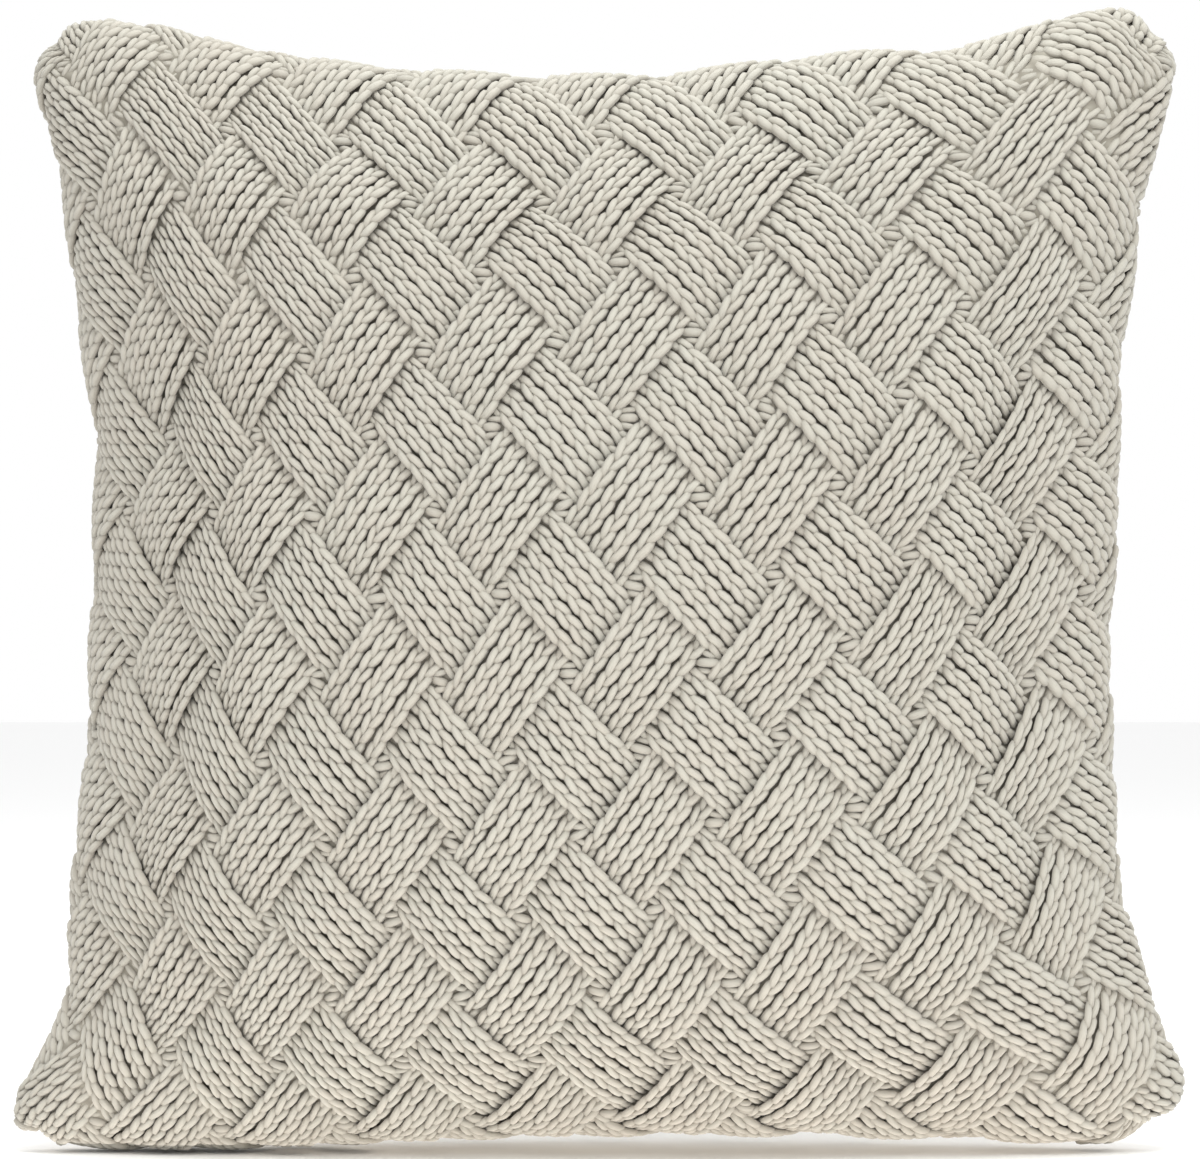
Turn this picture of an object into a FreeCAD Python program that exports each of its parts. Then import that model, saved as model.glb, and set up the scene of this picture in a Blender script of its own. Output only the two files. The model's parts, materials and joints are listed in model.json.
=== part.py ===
import FreeCAD, Part
import Sketcher
import math
import os

from FreeCAD import Placement, Rotation, Vector

# A knitted throw pillow that stands on its lower edge: a cable-knit cover of two sides joined at the rim,
# a zip across the lower back, and a fibre-filled insert. Millimetres, +X to the pillow's right as its face
# is seen, +Y from the face to the back, +Z up, origin on the floor under the middle.

doc = FreeCAD.newDocument("throw_pillow")
sheet = doc.addObject("Spreadsheet::Sheet", "sheet")
found = doc.addObject("Spreadsheet::Sheet", "found")

SIZES = [
    ("width_middle", 436.0, "width of the filled cover at half height"),
    ("height_middle", 460.0, "height of the filled cover at its middle"),
    ("depth", 170.0, "thickness through the belly"),
    ("belly_height", 225.0, "height of the thickest place above the floor"),
    ("pressed_edge", 15.0, "how much of the lower edge the weight presses flat"),
    ("top_corner_reach", 42.5, "how far the upper corners draw out sideways, before rounding"),
    ("bottom_corner_reach", 49.8, "how far the lower corners draw out sideways, before rounding"),
    ("top_corner_rise", 41.3, "how far the upper corners draw up, before rounding"),
    ("bottom_corner_rise", 8.0, "how far the lower corners stay above the pressed edge"),
    ("corner_power", 2.2, "how late along a side its corner starts to draw out"),
    ("corner_softness", 0.12, "rounding of the corners, as a share of the half width"),
    ("knit_wall", 8.0, "thickness of the cable knit"),
    ("rim_seam_width", 3.2, "width of the linked seam round the rim"),
    ("insert_gap", 0.6, "space between the cover and the insert"),
    ("insert_wall", 1.0, "thickness of the insert's cotton case"),
    ("insert_seam_width", 2.0, "width of the insert's sewn rim"),
    ("filling_gap", 0.3, "space between the case and the filling"),
    ("zip_height", 70.0, "height of the zip on the outside of the back"),
    ("zip_opening", 400.0, "length of the slot between the two back panels"),
    ("slot_width", 12.0, "width of that slot"),
    ("tape_overhang", 6.0, "tape past each end of the slot"),
    ("tape_width", 14.0, "width of one tape"),
    ("tape_thickness", 0.6, "thickness of the tape"),
    ("coil_width", 2.2, "width of one side of the chain"),
    ("coil_height", 2.3, "thickness of the chain"),
    ("coil_gap", 1.6, "space between the chain's two sides"),
    ("thread_size", 0.5, "thickness of the thread that holds a tape"),
    ("thread_inset", 3.0, "distance from a tape's outer edge to its thread"),
    ("fit_gap", 0.3, "running clearance of the slider and the tab"),
    ("tape_gap", 0.1, "space between a tape and what it is sewn to"),
    ("tape_depth", 6.5, "depth of the knit's inner face where a tape is sewn to it"),
    ("zip_recess", 6.0, "how far the filling gives way behind the zip"),
    ("slider_length", 12.0, "length of the slider"),
    ("slider_flange", 1.1, "thickness of the slider's side flanges"),
    ("slider_plate", 1.2, "thickness of each slider plate"),
    ("slider_post", 0.8, "thickness of the post between the plates"),
    ("post_length", 4.0, "length of that post"),
    ("slider_round", 0.9, "corner radius of the slider's plates, under the flange's thickness"),
    ("slider_end_room", 35.0, "space from the slider's middle to the slot's end when its travel ends"),
    ("bail_length", 9.0, "length of the bridge on the slider"),
    ("bail_width", 1.6, "width of the bridge"),
    ("bail_thickness", 1.2, "thickness of the bridge"),
    ("tab_thickness", 1.3, "thickness of the pull tab"),
    ("tab_width", 5.6, "width of the pull tab"),
    ("tab_length", 22.0, "length of the pull tab from its pivot"),
    ("tab_round", 1.6, "corner radius of the pull tab's free end"),
    ("grip_length", 7.0, "length of the window in the tab's grip"),
    ("grip_width", 2.2, "width of that window"),
    ("stop_length", 3.0, "length of each stop along the zip"),
    ("stop_gap", 1.0, "space between a stop and the slider at the end of its travel"),
    ("stop_overlap", 0.4, "how much wider and higher a stop is than the chain"),
]

for row, (name, value, meaning) in enumerate(SIZES, start=1):
    sheet.set(f"A{row}", meaning)
    sheet.set(f"B{row}", str(value))
    sheet.setAlias(f"B{row}", name)
doc.recompute()


def size(name):
    """One driving size from the sheet, as a plain number."""
    return float(getattr(sheet, name))


# ---- the filled shape ------------------------------------------------------------------------------------
# The shape is a bulging square. A point has two shares, across and up, from -1 to 1. At height share v and
# width share u the half thickness is depth/2 * sqrt(((1-u^2)(1-v^2) - c^2) / (1 - c^2)), where c rounds the
# corners, and the sides draw out towards the corners with a power of the other share.

SOFT = size("corner_softness")
RIM_SHARE = math.sqrt(1 - SOFT ** 2)
LEVELS = 8
LAST_LEVEL = math.radians(86)
OUTLINE_POINTS = 72
CORNER_CROWDING = 0.18


def place_shares(across, up, inset):
    """The x and z of a point from its two shares, on the shape drawn in by inset all round."""
    bottom_middle = size("belly_height") + size("pressed_edge")
    top_middle = size("height_middle") - size("belly_height")
    if up >= 0:
        side_reach = size("top_corner_reach")
        half_height = (top_middle - inset) / RIM_SHARE
        corner_rise = size("top_corner_rise")
    else:
        side_reach = size("bottom_corner_reach")
        half_height = (bottom_middle - inset) / RIM_SHARE
        corner_rise = -size("bottom_corner_rise")
    half_width = (size("width_middle") / 2 - inset) / RIM_SHARE
    power = size("corner_power")
    x = across * (half_width + side_reach * abs(up) ** power)
    z = size("belly_height") + up * (half_height + corner_rise * abs(across) ** power)
    return x, z


def find_shares(x, z, inset):
    """The two shares of a point, found by repeated correction."""
    across, up = 0.0, 0.0
    for _ in range(60):
        x_now, z_now = place_shares(across, up, inset)
        across += (x - x_now) / size("width_middle")
        up += (z - z_now) / size("height_middle")
    return across, up


def half_thickness(x, z, inset):
    """Distance from the middle plane to the surface above the point x, z."""
    across, up = find_shares(x, z, inset)
    fullness = (1 - across ** 2) * (1 - up ** 2) - SOFT ** 2
    return (size("depth") / 2 - inset) * math.sqrt(max(fullness, 0.0)) / RIM_SHARE


def outline(level, inset):
    """The closed curve of the shape at one level, where level is an angle from 0 at the rim."""
    fullness = SOFT ** 2 + (1 - SOFT ** 2) * math.sin(level) ** 2
    y = (size("depth") / 2 - inset) * math.sin(level) / math.sin(LAST_LEVEL)
    points = []
    for index in range(OUTLINE_POINTS):
        turn = 2 * math.pi * index / OUTLINE_POINTS
        angle = turn + CORNER_CROWDING * math.sin(4 * turn)
        cross = (math.cos(angle) * math.sin(angle)) ** 2
        room = 1 - fullness
        if cross < 1e-9:
            reach = math.sqrt(room)
        else:
            reach = math.sqrt((1 - math.sqrt(1 - 4 * cross * room)) / (2 * cross))
        x, z = place_shares(reach * math.cos(angle), reach * math.sin(angle), inset)
        points.append(Vector(x, y, z))
    shared_knots = [float(index) for index in range(OUTLINE_POINTS + 1)]
    curve = Part.BSplineCurve()
    curve.interpolate(Points=points, PeriodicFlag=True, Parameters=shared_knots)
    return Part.Wire([curve.toShape()])


def filled_form(name, inset):
    """The whole bulging shape as one lofted solid, drawn in by inset, with a flat underside."""
    steps = [LAST_LEVEL * step / LEVELS for step in range(-LEVELS, LEVELS + 1)]
    wires = [outline(level, inset) for level in steps]
    form = doc.addObject("Part::Feature", name)
    form.Shape = Part.makeLoft(wires, True, False)
    return form


# ---- cutting blocks --------------------------------------------------------------------------------------

REACH = 2 * max(size("width_middle"), size("height_middle"))


def block(name, x_span, y_span, z_span, placement=Placement()):
    """A box between two values on each axis, in the frame of the placement."""
    box = doc.addObject("Part::Box", name)
    box.Length = x_span[1] - x_span[0]
    box.Width = y_span[1] - y_span[0]
    box.Height = z_span[1] - z_span[0]
    box.Placement = placement * Placement(Vector(x_span[0], y_span[0], z_span[0]), Rotation())
    return box


def common(name, shapes):
    """What several objects share."""
    result = doc.addObject("Part::MultiCommon", name)
    result.Shapes = shapes
    return result


def cut(name, base, tool):
    """One object less another."""
    result = doc.addObject("Part::Cut", name)
    result.Base = base
    result.Tool = tool
    return result


def shell(name, outer_inset, wall):
    """A hollow shape with a flat underside: the form at outer_inset less the form one wall further in."""
    inner_inset = outer_inset + wall
    outside = filled_form(name + "_outside", outer_inset)
    hollow = filled_form(name + "_hollow", inner_inset)
    above = block(name + "_above", (-REACH, REACH), (-REACH, REACH), (outer_inset, REACH))
    above_hollow = block(name + "_above_hollow", (-REACH, REACH), (-REACH, REACH), (inner_inset, REACH))
    stood = common(name + "_stood", [outside, above])
    hollow_stood = common(name + "_hollow_stood", [hollow, above_hollow])
    return cut(name, stood, hollow_stood)


def front_of(name, half_seam):
    """Everything in front of the rim seam."""
    return block(name, (-REACH, REACH), (-REACH, -half_seam), (-REACH, REACH))


def behind(name, half_seam):
    """Everything behind the rim seam."""
    return block(name, (-REACH, REACH), (half_seam, REACH), (-REACH, REACH))


def rim_slice(name, half_seam):
    """The slice that the rim seam takes."""
    return block(name, (-REACH, REACH), (-half_seam, half_seam), (-REACH, REACH))


# ---- the zip's arc ---------------------------------------------------------------------------------------
# The zip lies across the lower back, on an arc in the plane that stands square on the fabric there. The arc
# passes through the surface at its middle and near both ends of the slot, so every piece of the zip turns
# about one axis, and the slider runs along it.

STEP = 0.5
zip_z = size("zip_height")
zip_y = half_thickness(0, zip_z, 0)
slope = (half_thickness(0, zip_z + STEP, 0) - half_thickness(0, zip_z - STEP, 0)) / (2 * STEP)
tilt = math.atan(slope)
outward = Vector(0, math.cos(tilt), -math.sin(tilt))
upward = Vector(0, math.sin(tilt), math.cos(tilt))


def drop_at(x):
    """How far inward along the zip's plane the surface lies at x, found by halving."""
    low, high = 0.0, size("depth") / 2
    for _ in range(50):
        middle = (low + high) / 2
        point = Vector(0, zip_y, zip_z) - outward * middle
        if half_thickness(x, point.z, 0) < point.y:
            low = middle
        else:
            high = middle
    return low


fit_x = 0.46 * size("zip_opening")
fit_drop = drop_at(fit_x)
zip_radius = (fit_x ** 2 + fit_drop ** 2) / (2 * fit_drop)
arc_centre = Vector(0, zip_y, zip_z) - outward * zip_radius
zip_frame = Placement(arc_centre, Rotation(Vector(1, 0, 0), -math.degrees(tilt)))
found.set("A1", "radius of the zip's arc at the outside of the knit")
found.set("B1", str(zip_radius))
found.setAlias("B1", "zip_radius")
doc.recompute()


def along_zip(distance):
    """The frame at a distance along the zip: X along the zip, Y outward, Z across it."""
    turn = Placement(Vector(), Rotation(Vector(0, 0, 1), -math.degrees(distance / zip_radius)))
    return zip_frame * turn


def origin_plane(body, role):
    """One of the body's own origin planes."""
    for feature in body.Origin.OriginFeatures:
        if feature.Role == role:
            return feature
    raise ValueError(role)


def new_sketch(body, name, role):
    """An empty sketch on one of the body's origin planes."""
    sketch = body.newObject("Sketcher::SketchObject", name)
    sketch.AttachmentSupport = (origin_plane(body, role), [""])
    sketch.MapMode = "FlatFace"
    return sketch


def add_rectangle(sketch, label, left, right, low, high):
    """A rectangle whose sides lie at four distances from the sketch's origin, given as expressions."""
    corners = [Vector(0, 0, 0), Vector(1, 0, 0), Vector(1, 1, 0), Vector(0, 1, 0)]
    first = sketch.GeometryCount
    for index in range(4):
        sketch.addGeometry(Part.LineSegment(corners[index], corners[(index + 1) % 4]), False)
    for index in range(4):
        side = first + index
        after = first + (index + 1) % 4
        direction = "Horizontal" if index % 2 == 0 else "Vertical"
        sketch.addConstraint(Sketcher.Constraint("Coincident", side, 2, after, 1))
        sketch.addConstraint(Sketcher.Constraint(direction, side))
    held = [
        ("DistanceX", 0, 0.0, left, "left"),
        ("DistanceX", 1, 1.0, right, "right"),
        ("DistanceY", 0, 0.0, low, "low"),
        ("DistanceY", 2, 1.0, high, "high"),
    ]
    for kind, corner, value, expression, word in held:
        number = sketch.addConstraint(Sketcher.Constraint(kind, -1, 1, first + corner, 1, value))
        sketch.renameConstraint(number, label + "_" + word)
        sketch.setExpression("Constraints." + label + "_" + word, expression)


def add_pad(body, name, sketch, length):
    """A pad of a sketch, half its length to each side of the sketch's plane."""
    pad = body.newObject("PartDesign::Pad", name)
    pad.Profile = sketch
    pad.Midplane = True
    pad.setExpression("Length", length)
    return pad


def add_pocket(body, name, sketch, length):
    """A pocket of a sketch to both sides of its plane, with a check that it takes material away."""
    doc.recompute()
    before = body.Shape.Volume
    pocket = body.newObject("PartDesign::Pocket", name)
    pocket.Profile = sketch
    pocket.Midplane = True
    pocket.setExpression("Length", length)
    doc.recompute()
    if body.Shape.Volume > before - 0.01:
        raise ValueError(name + " cuts nothing")
    return pocket


def arc_strip(name, depths, widths, length, middle=0.0):
    """A strip that follows the zip's arc, revolved from a rectangular section.

    depths are its two distances from the knit's outside, widths its two distances across the zip and length
    its length, all as expressions. middle is the distance of its own middle along the zip.
    """
    body = doc.addObject("PartDesign::Body", name)
    section = new_sketch(body, name + "_section", "YZ_Plane")
    inner = f"found.zip_radius + ({depths[0]})"
    outer = f"found.zip_radius + ({depths[1]})"
    add_rectangle(section, "strip", inner, outer, widths[0], widths[1])
    sweep = body.newObject("PartDesign::Revolution", name + "_sweep")
    sweep.Profile = section
    sweep.ReferenceAxis = (section, ["V_Axis"])
    sweep.Midplane = True
    sweep.setExpression("Angle", f"({length}) / found.zip_radius * 180 / pi * 1 deg")
    body.Placement = along_zip(middle)
    return body


# Depths from the knit's outside, negative inward.
TAPE_TOP = "-sheet.tape_depth - sheet.tape_gap"
TAPE_UNDER = TAPE_TOP + " - sheet.tape_thickness"
COIL_TOP = TAPE_TOP + " + sheet.coil_height"
STOP_TOP = COIL_TOP + " + sheet.stop_overlap"
THREAD_UNDER = TAPE_UNDER + " - sheet.thread_size"
FLANGE_UNDER = TAPE_TOP + " + sheet.fit_gap"
PLATE_UNDER = TAPE_UNDER + " - sheet.fit_gap"
SLIDER_UNDER = PLATE_UNDER + " - sheet.slider_plate"
CHANNEL_TOP = "-sheet.tape_depth"
FILLING_TOP = "-sheet.knit_wall - sheet.insert_gap - sheet.insert_wall - sheet.filling_gap"
RECESS_UNDER = FILLING_TOP + " - sheet.zip_recess"
PLATE_TOP = COIL_TOP + " + sheet.fit_gap"
SLIDER_TOP = PLATE_TOP + " + sheet.slider_plate"
BAIL_UNDER = SLIDER_TOP + " + 2 * sheet.fit_gap + sheet.tab_thickness"
BAIL_TOP = BAIL_UNDER + " + sheet.bail_thickness"
PIVOT_DEPTH = SLIDER_TOP + " + sheet.fit_gap + sheet.tab_thickness / 2"

# Distances across the zip.
CHAIN_EDGE = "sheet.coil_gap / 2"
COIL_EDGE = CHAIN_EDGE + " + sheet.coil_width"
STOP_EDGE = COIL_EDGE + " + sheet.stop_overlap"
TAPE_EDGE = CHAIN_EDGE + " + sheet.tape_width"
THREAD_OUTER = TAPE_EDGE + " - sheet.thread_inset"
THREAD_INNER = THREAD_OUTER + " - sheet.thread_size"
CHANNEL_EDGE = TAPE_EDGE + " + sheet.fit_gap"
SLIDER_INNER = COIL_EDGE + " + sheet.fit_gap"
SLIDER_EDGE = SLIDER_INNER + " + sheet.slider_flange"

# Lengths and places along the zip.
TAPE_LENGTH = "sheet.zip_opening + 2 * sheet.tape_overhang"
CHANNEL_LENGTH = TAPE_LENGTH + " + 2 * sheet.fit_gap"
SLIDER_TRAVEL = "sheet.zip_opening - 2 * sheet.slider_end_room"
CHAIN_LENGTH = SLIDER_TRAVEL + " + sheet.slider_length + 2 * sheet.stop_gap"
closed_place = size("zip_opening") / 2 - size("slider_end_room")
open_place = -closed_place
stop_reach = size("slider_length") / 2 + size("stop_gap") + size("stop_length") / 2

# Depths that reach through the knit, and a way to name the other side of the zip.
WELL_INSIDE = "-3 * sheet.knit_wall"
WELL_OUTSIDE = "2 * sheet.knit_wall"


def other_side(expression):
    """The same distance on the other side."""
    return "-(" + expression + ")"


def on_side(side, inner, outer):
    """Two distances across the zip, above its middle or below it."""
    if side == "upper":
        return inner, outer
    return other_side(outer), other_side(inner)


# ---- the cover -------------------------------------------------------------------------------------------

slot = arc_strip("slot_cutter", (WELL_INSIDE, WELL_OUTSIDE), (other_side("sheet.slot_width / 2"),
                 "sheet.slot_width / 2"), "sheet.zip_opening")
channel = arc_strip("channel_cutter", (RECESS_UNDER, CHANNEL_TOP), (other_side(CHANNEL_EDGE), CHANNEL_EDGE),
                    CHANNEL_LENGTH)


def make_cover():
    """Two knitted sides: a front, and a back in two panels with the zip's slot between them."""
    half_rim = size("rim_seam_width") / 2
    cover = shell("cover", 0.0, size("knit_wall"))
    front = common("front_panel", [cover, front_of("front_half", half_rim)])
    seam = common("cover_seam", [cover, rim_slice("rim_slice", half_rim)])
    back = common("back_half", [cover, behind("rear_half", half_rim)])
    slotted = cut("back_slotted", back, slot)
    channelled = cut("back_channelled", slotted, channel)
    zip_middle = Placement(Vector(0, zip_y, zip_z), zip_frame.Rotation)
    over = block("over_zip", (-REACH, REACH), (-REACH, REACH), (0, REACH), zip_middle)
    under = block("under_zip", (-REACH, REACH), (-REACH, REACH), (-REACH, 0), zip_middle)
    upper = common("back_panel_upper", [channelled, over])
    lower = common("back_panel_lower", [channelled, under])
    return [front, upper, lower, seam]


# ---- the insert ------------------------------------------------------------------------------------------

recess = arc_strip("recess_cutter", (RECESS_UNDER, WELL_OUTSIDE), (other_side(CHANNEL_EDGE), CHANNEL_EDGE),
                   CHANNEL_LENGTH)


def make_insert():
    """A plain cotton case in two sides with a sewn rim, and the filling inside it."""
    case_inset = size("knit_wall") + size("insert_gap")
    half_rim = size("insert_seam_width") / 2
    case = shell("insert_case", case_inset, size("insert_wall"))
    front = common("insert_front", [case, front_of("insert_front_half", half_rim)])
    seam = common("insert_seam", [case, rim_slice("insert_rim_slice", half_rim)])
    back = common("insert_back_half", [case, behind("insert_rear_half", half_rim)])
    back_recessed = cut("insert_back", back, recess)
    filling_inset = case_inset + size("insert_wall") + size("filling_gap")
    form = filled_form("filling_form", filling_inset)
    above = block("above_filling", (-REACH, REACH), (-REACH, REACH), (filling_inset, REACH))
    stood = common("filling_stood", [form, above])
    filling = cut("filling", stood, recess)
    return [front, back_recessed, seam, filling]


# ---- tapes, chain, thread and stops ----------------------------------------------------------------------


def make_zip():
    """The fixed pieces of the zip, above and below its middle, and the stops at its two ends."""
    pieces = []
    for side in ("upper", "lower"):
        tape = arc_strip("zip_tape_" + side, (TAPE_UNDER, TAPE_TOP), on_side(side, CHAIN_EDGE, TAPE_EDGE),
                         TAPE_LENGTH)
        chain = arc_strip("zip_coil_" + side, (TAPE_TOP, COIL_TOP), on_side(side, CHAIN_EDGE, COIL_EDGE),
                          CHAIN_LENGTH)
        thread = arc_strip("zip_thread_" + side, (THREAD_UNDER, TAPE_UNDER),
                           on_side(side, THREAD_INNER, THREAD_OUTER), TAPE_LENGTH)
        stop = arc_strip("zip_top_stop_" + side, (TAPE_TOP, STOP_TOP), on_side(side, CHAIN_EDGE, STOP_EDGE),
                         "sheet.stop_length", closed_place + stop_reach)
        pieces += [tape, chain, thread, stop]
    bottom_stop = arc_strip("zip_bottom_stop", (TAPE_TOP, STOP_TOP), (other_side(STOP_EDGE), STOP_EDGE),
                            "sheet.stop_length", open_place - stop_reach)
    return pieces + [bottom_stop]


# ---- slider and pull tab ---------------------------------------------------------------------------------


def close(first, second):
    """Whether two lengths are the same, to a hundredth of a millimetre."""
    return abs(first - second) < 0.01


def round_corners(body, name, radius, is_corner):
    """Fillet the edges of the body's last feature that a test on the edge's middle and direction picks."""
    doc.recompute()
    base = body.Tip
    picked = []
    for index, edge in enumerate(base.Shape.Edges, start=1):
        middle = edge.CenterOfMass
        direction = edge.tangentAt(edge.FirstParameter)
        if is_corner(middle, direction):
            picked.append("Edge" + str(index))
    if not picked:
        raise ValueError(name + " finds no edge")
    fillet = body.newObject("PartDesign::Fillet", name)
    fillet.Base = (base, picked)
    fillet.setExpression("Radius", radius)
    doc.recompute()
    return fillet


def make_slider():
    """The slider: two plates joined by a post, flanges beside the chain, and a bridge for the tab."""
    body = doc.addObject("PartDesign::Body", "zip_slider")
    plate = new_sketch(body, "top_plate_plan", "YZ_Plane")
    add_rectangle(plate, "plate", PLATE_TOP, SLIDER_TOP, other_side(SLIDER_EDGE), SLIDER_EDGE)
    add_pad(body, "top_plate", plate, "sheet.slider_length")
    flanges = new_sketch(body, "flange_section", "YZ_Plane")
    flange_top = PLATE_TOP + " + sheet.slider_plate / 2"
    add_rectangle(flanges, "above", FLANGE_UNDER, flange_top, SLIDER_INNER, SLIDER_EDGE)
    add_rectangle(flanges, "below", FLANGE_UNDER, flange_top, other_side(SLIDER_EDGE),
                  other_side(SLIDER_INNER))
    add_pad(body, "flanges", flanges, "sheet.slider_length")
    post = new_sketch(body, "post_section", "YZ_Plane")
    add_rectangle(post, "post", PLATE_UNDER, PLATE_TOP, other_side("sheet.slider_post / 2"),
                  "sheet.slider_post / 2")
    add_pad(body, "post", post, "sheet.post_length")
    under = new_sketch(body, "under_plate_section", "YZ_Plane")
    add_rectangle(under, "plate", SLIDER_UNDER, PLATE_UNDER, other_side(SLIDER_EDGE), SLIDER_EDGE)
    add_pad(body, "under_plate", under, "sheet.slider_length")
    bail = new_sketch(body, "bail_side", "XY_Plane")
    add_rectangle(bail, "bail", other_side("sheet.bail_length / 2"), "sheet.bail_length / 2",
                  SLIDER_TOP, BAIL_TOP)
    add_pad(body, "bail", bail, "sheet.bail_width")
    window = new_sketch(body, "bail_window_side", "XY_Plane")
    window_reach = "sheet.bail_length / 2 - sheet.bail_thickness"
    add_rectangle(window, "window", other_side(window_reach), window_reach, SLIDER_TOP, BAIL_UNDER)
    add_pocket(body, "bail_window", window, "2 * sheet.bail_width")
    ends = size("slider_length") / 2
    sides = zip_value(SLIDER_EDGE)
    round_corners(body, "plate_corners", "sheet.slider_round", lambda middle, direction:
                  close(abs(middle.x), ends) and close(abs(middle.z), sides) and abs(direction.y) > 0.99)
    top = zip_value(BAIL_TOP)
    round_corners(body, "bail_corners", "sheet.bail_thickness * 0.8", lambda middle, direction:
                  close(middle.y, top) and abs(direction.z) > 0.99)
    body.Placement = along_zip(closed_place) * Placement(Vector(0, zip_radius, 0), Rotation())
    return body


def zip_value(expression):
    """The present value of an expression, read back through a spare cell of the second sheet."""
    found.set("B9", "=" + expression.replace("sheet.", sheet.Name + "."))
    doc.recompute()
    return float(found.get("B9"))


def make_tab():
    """The pull tab: a flat bar with an eye round the slider's bridge and a window in its grip."""
    body = doc.addObject("PartDesign::Body", "zip_pull_tab")
    half = "sheet.tab_width / 2"
    bar = "sheet.tab_thickness / 2"
    plan = new_sketch(body, "tab_plan", "XZ_Plane")
    add_rectangle(plan, "tab", "-sheet.tab_length", bar, other_side(half), half)
    add_pad(body, "tab", plan, "sheet.tab_thickness")
    eye = new_sketch(body, "eye_plan", "XZ_Plane")
    bridge_rise = "sheet.tab_thickness / 2 + sheet.fit_gap + sheet.bail_thickness"
    eye_reach = f"sqrt((sheet.bail_length / 2) ^ 2 + ({bridge_rise}) ^ 2) + sheet.fit_gap"
    eye_half = "sheet.bail_width / 2 + sheet.fit_gap"
    add_rectangle(eye, "eye", other_side(eye_reach), other_side(bar), other_side(eye_half), eye_half)
    add_pocket(body, "eye", eye, "2 * sheet.tab_thickness")
    grip = new_sketch(body, "grip_plan", "XZ_Plane")
    grip_end = "-sheet.tab_length + sheet.tab_round + sheet.tab_thickness"
    add_rectangle(grip, "grip", grip_end, grip_end + " + sheet.grip_length", "-sheet.grip_width / 2",
                  "sheet.grip_width / 2")
    add_pocket(body, "grip_window", grip, "2 * sheet.tab_thickness")
    free_end = -size("tab_length")
    round_corners(body, "free_end", "sheet.tab_round", lambda middle, direction:
                  close(middle.x, free_end) and abs(direction.y) > 0.99)
    pivot_end = size("tab_thickness") / 2
    round_corners(body, "pivot_bar", "sheet.tab_thickness * 0.4", lambda middle, direction:
                  close(middle.x, pivot_end) and abs(direction.z) > 0.99)
    body.Placement = along_zip(closed_place) * Placement(Vector(0, zip_radius + zip_value(PIVOT_DEPTH), 0),
                                                         Rotation())
    return body


# ---- build, check and write ------------------------------------------------------------------------------

nodes = make_cover() + make_insert() + make_zip() + [make_slider(), make_tab()]
doc.recompute()

for item in doc.Objects:
    if "Invalid" in item.State or "Error" in item.State:
        raise ValueError(item.Name + " is " + str(item.State))

os.makedirs("parts", exist_ok=True)
for node in nodes:
    shape = node.Shape
    if shape.isNull() or not shape.isValid() or len(shape.Solids) != 1:
        raise ValueError(node.Label + " is not one valid solid")
    shape.exportStep("parts/" + node.Label + ".step")
    box = shape.BoundBox
    print(f"{node.Label:18s} {shape.Volume / 1000:10.2f} cm3  x {box.XMin:7.1f} {box.XMax:7.1f}"
          f"  y {box.YMin:6.1f} {box.YMax:6.1f}  z {box.ZMin:6.1f} {box.ZMax:6.1f}")

pivot = along_zip(closed_place).multVec(Vector(0, zip_radius + zip_value(PIVOT_DEPTH), 0))
print("zip arc: radius", round(zip_radius, 3), "centre", [round(value, 4) for value in arc_centre])
print("zip axis", [round(value, 6) for value in upward], "tab pivot", [round(value, 4) for value in pivot])
print("slider turns", round(math.degrees((closed_place - open_place) / zip_radius), 4), "degrees")
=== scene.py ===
# %% Load the frame
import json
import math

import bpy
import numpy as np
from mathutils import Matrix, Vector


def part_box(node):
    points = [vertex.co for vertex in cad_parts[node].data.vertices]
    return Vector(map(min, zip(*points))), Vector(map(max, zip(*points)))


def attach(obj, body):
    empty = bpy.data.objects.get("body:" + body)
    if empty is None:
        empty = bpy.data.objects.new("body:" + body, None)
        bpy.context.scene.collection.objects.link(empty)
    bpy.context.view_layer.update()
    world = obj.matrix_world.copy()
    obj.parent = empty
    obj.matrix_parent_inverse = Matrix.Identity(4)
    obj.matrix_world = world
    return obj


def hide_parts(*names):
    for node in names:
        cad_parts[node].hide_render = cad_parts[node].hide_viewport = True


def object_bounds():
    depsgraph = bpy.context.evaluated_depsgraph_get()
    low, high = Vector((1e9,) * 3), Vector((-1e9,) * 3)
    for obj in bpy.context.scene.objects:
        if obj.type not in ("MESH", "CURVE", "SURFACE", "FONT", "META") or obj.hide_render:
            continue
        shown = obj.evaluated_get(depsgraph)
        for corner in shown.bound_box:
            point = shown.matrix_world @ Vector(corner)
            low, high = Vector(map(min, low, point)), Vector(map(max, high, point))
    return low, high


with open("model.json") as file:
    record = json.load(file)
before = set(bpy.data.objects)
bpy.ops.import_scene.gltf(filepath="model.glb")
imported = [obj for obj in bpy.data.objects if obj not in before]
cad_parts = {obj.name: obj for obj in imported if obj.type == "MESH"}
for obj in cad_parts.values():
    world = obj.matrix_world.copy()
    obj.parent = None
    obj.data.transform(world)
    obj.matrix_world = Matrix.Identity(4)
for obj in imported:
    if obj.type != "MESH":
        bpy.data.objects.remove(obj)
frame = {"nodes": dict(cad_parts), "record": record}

# %% [markdown]
# # A cable-knit throw pillow
# The real thing is a square cover of thick cotton yarn, knitted in a basket of crossing cables, over a plump
# fibre-filled insert. A zip crosses the lower back. The frame that was just loaded holds every solid at its
# true place, in metres. This lesson keeps the hard pieces, gives them finishes, and makes the soft ones
# again as yarn, cloth and thread. We note the solid model's box first, because nothing soft may outgrow it
# by much.

MM = 0.001
cad_low, cad_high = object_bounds()
print("solid model", [round(v, 4) for v in cad_low], [round(v, 4) for v in cad_high])

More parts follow.
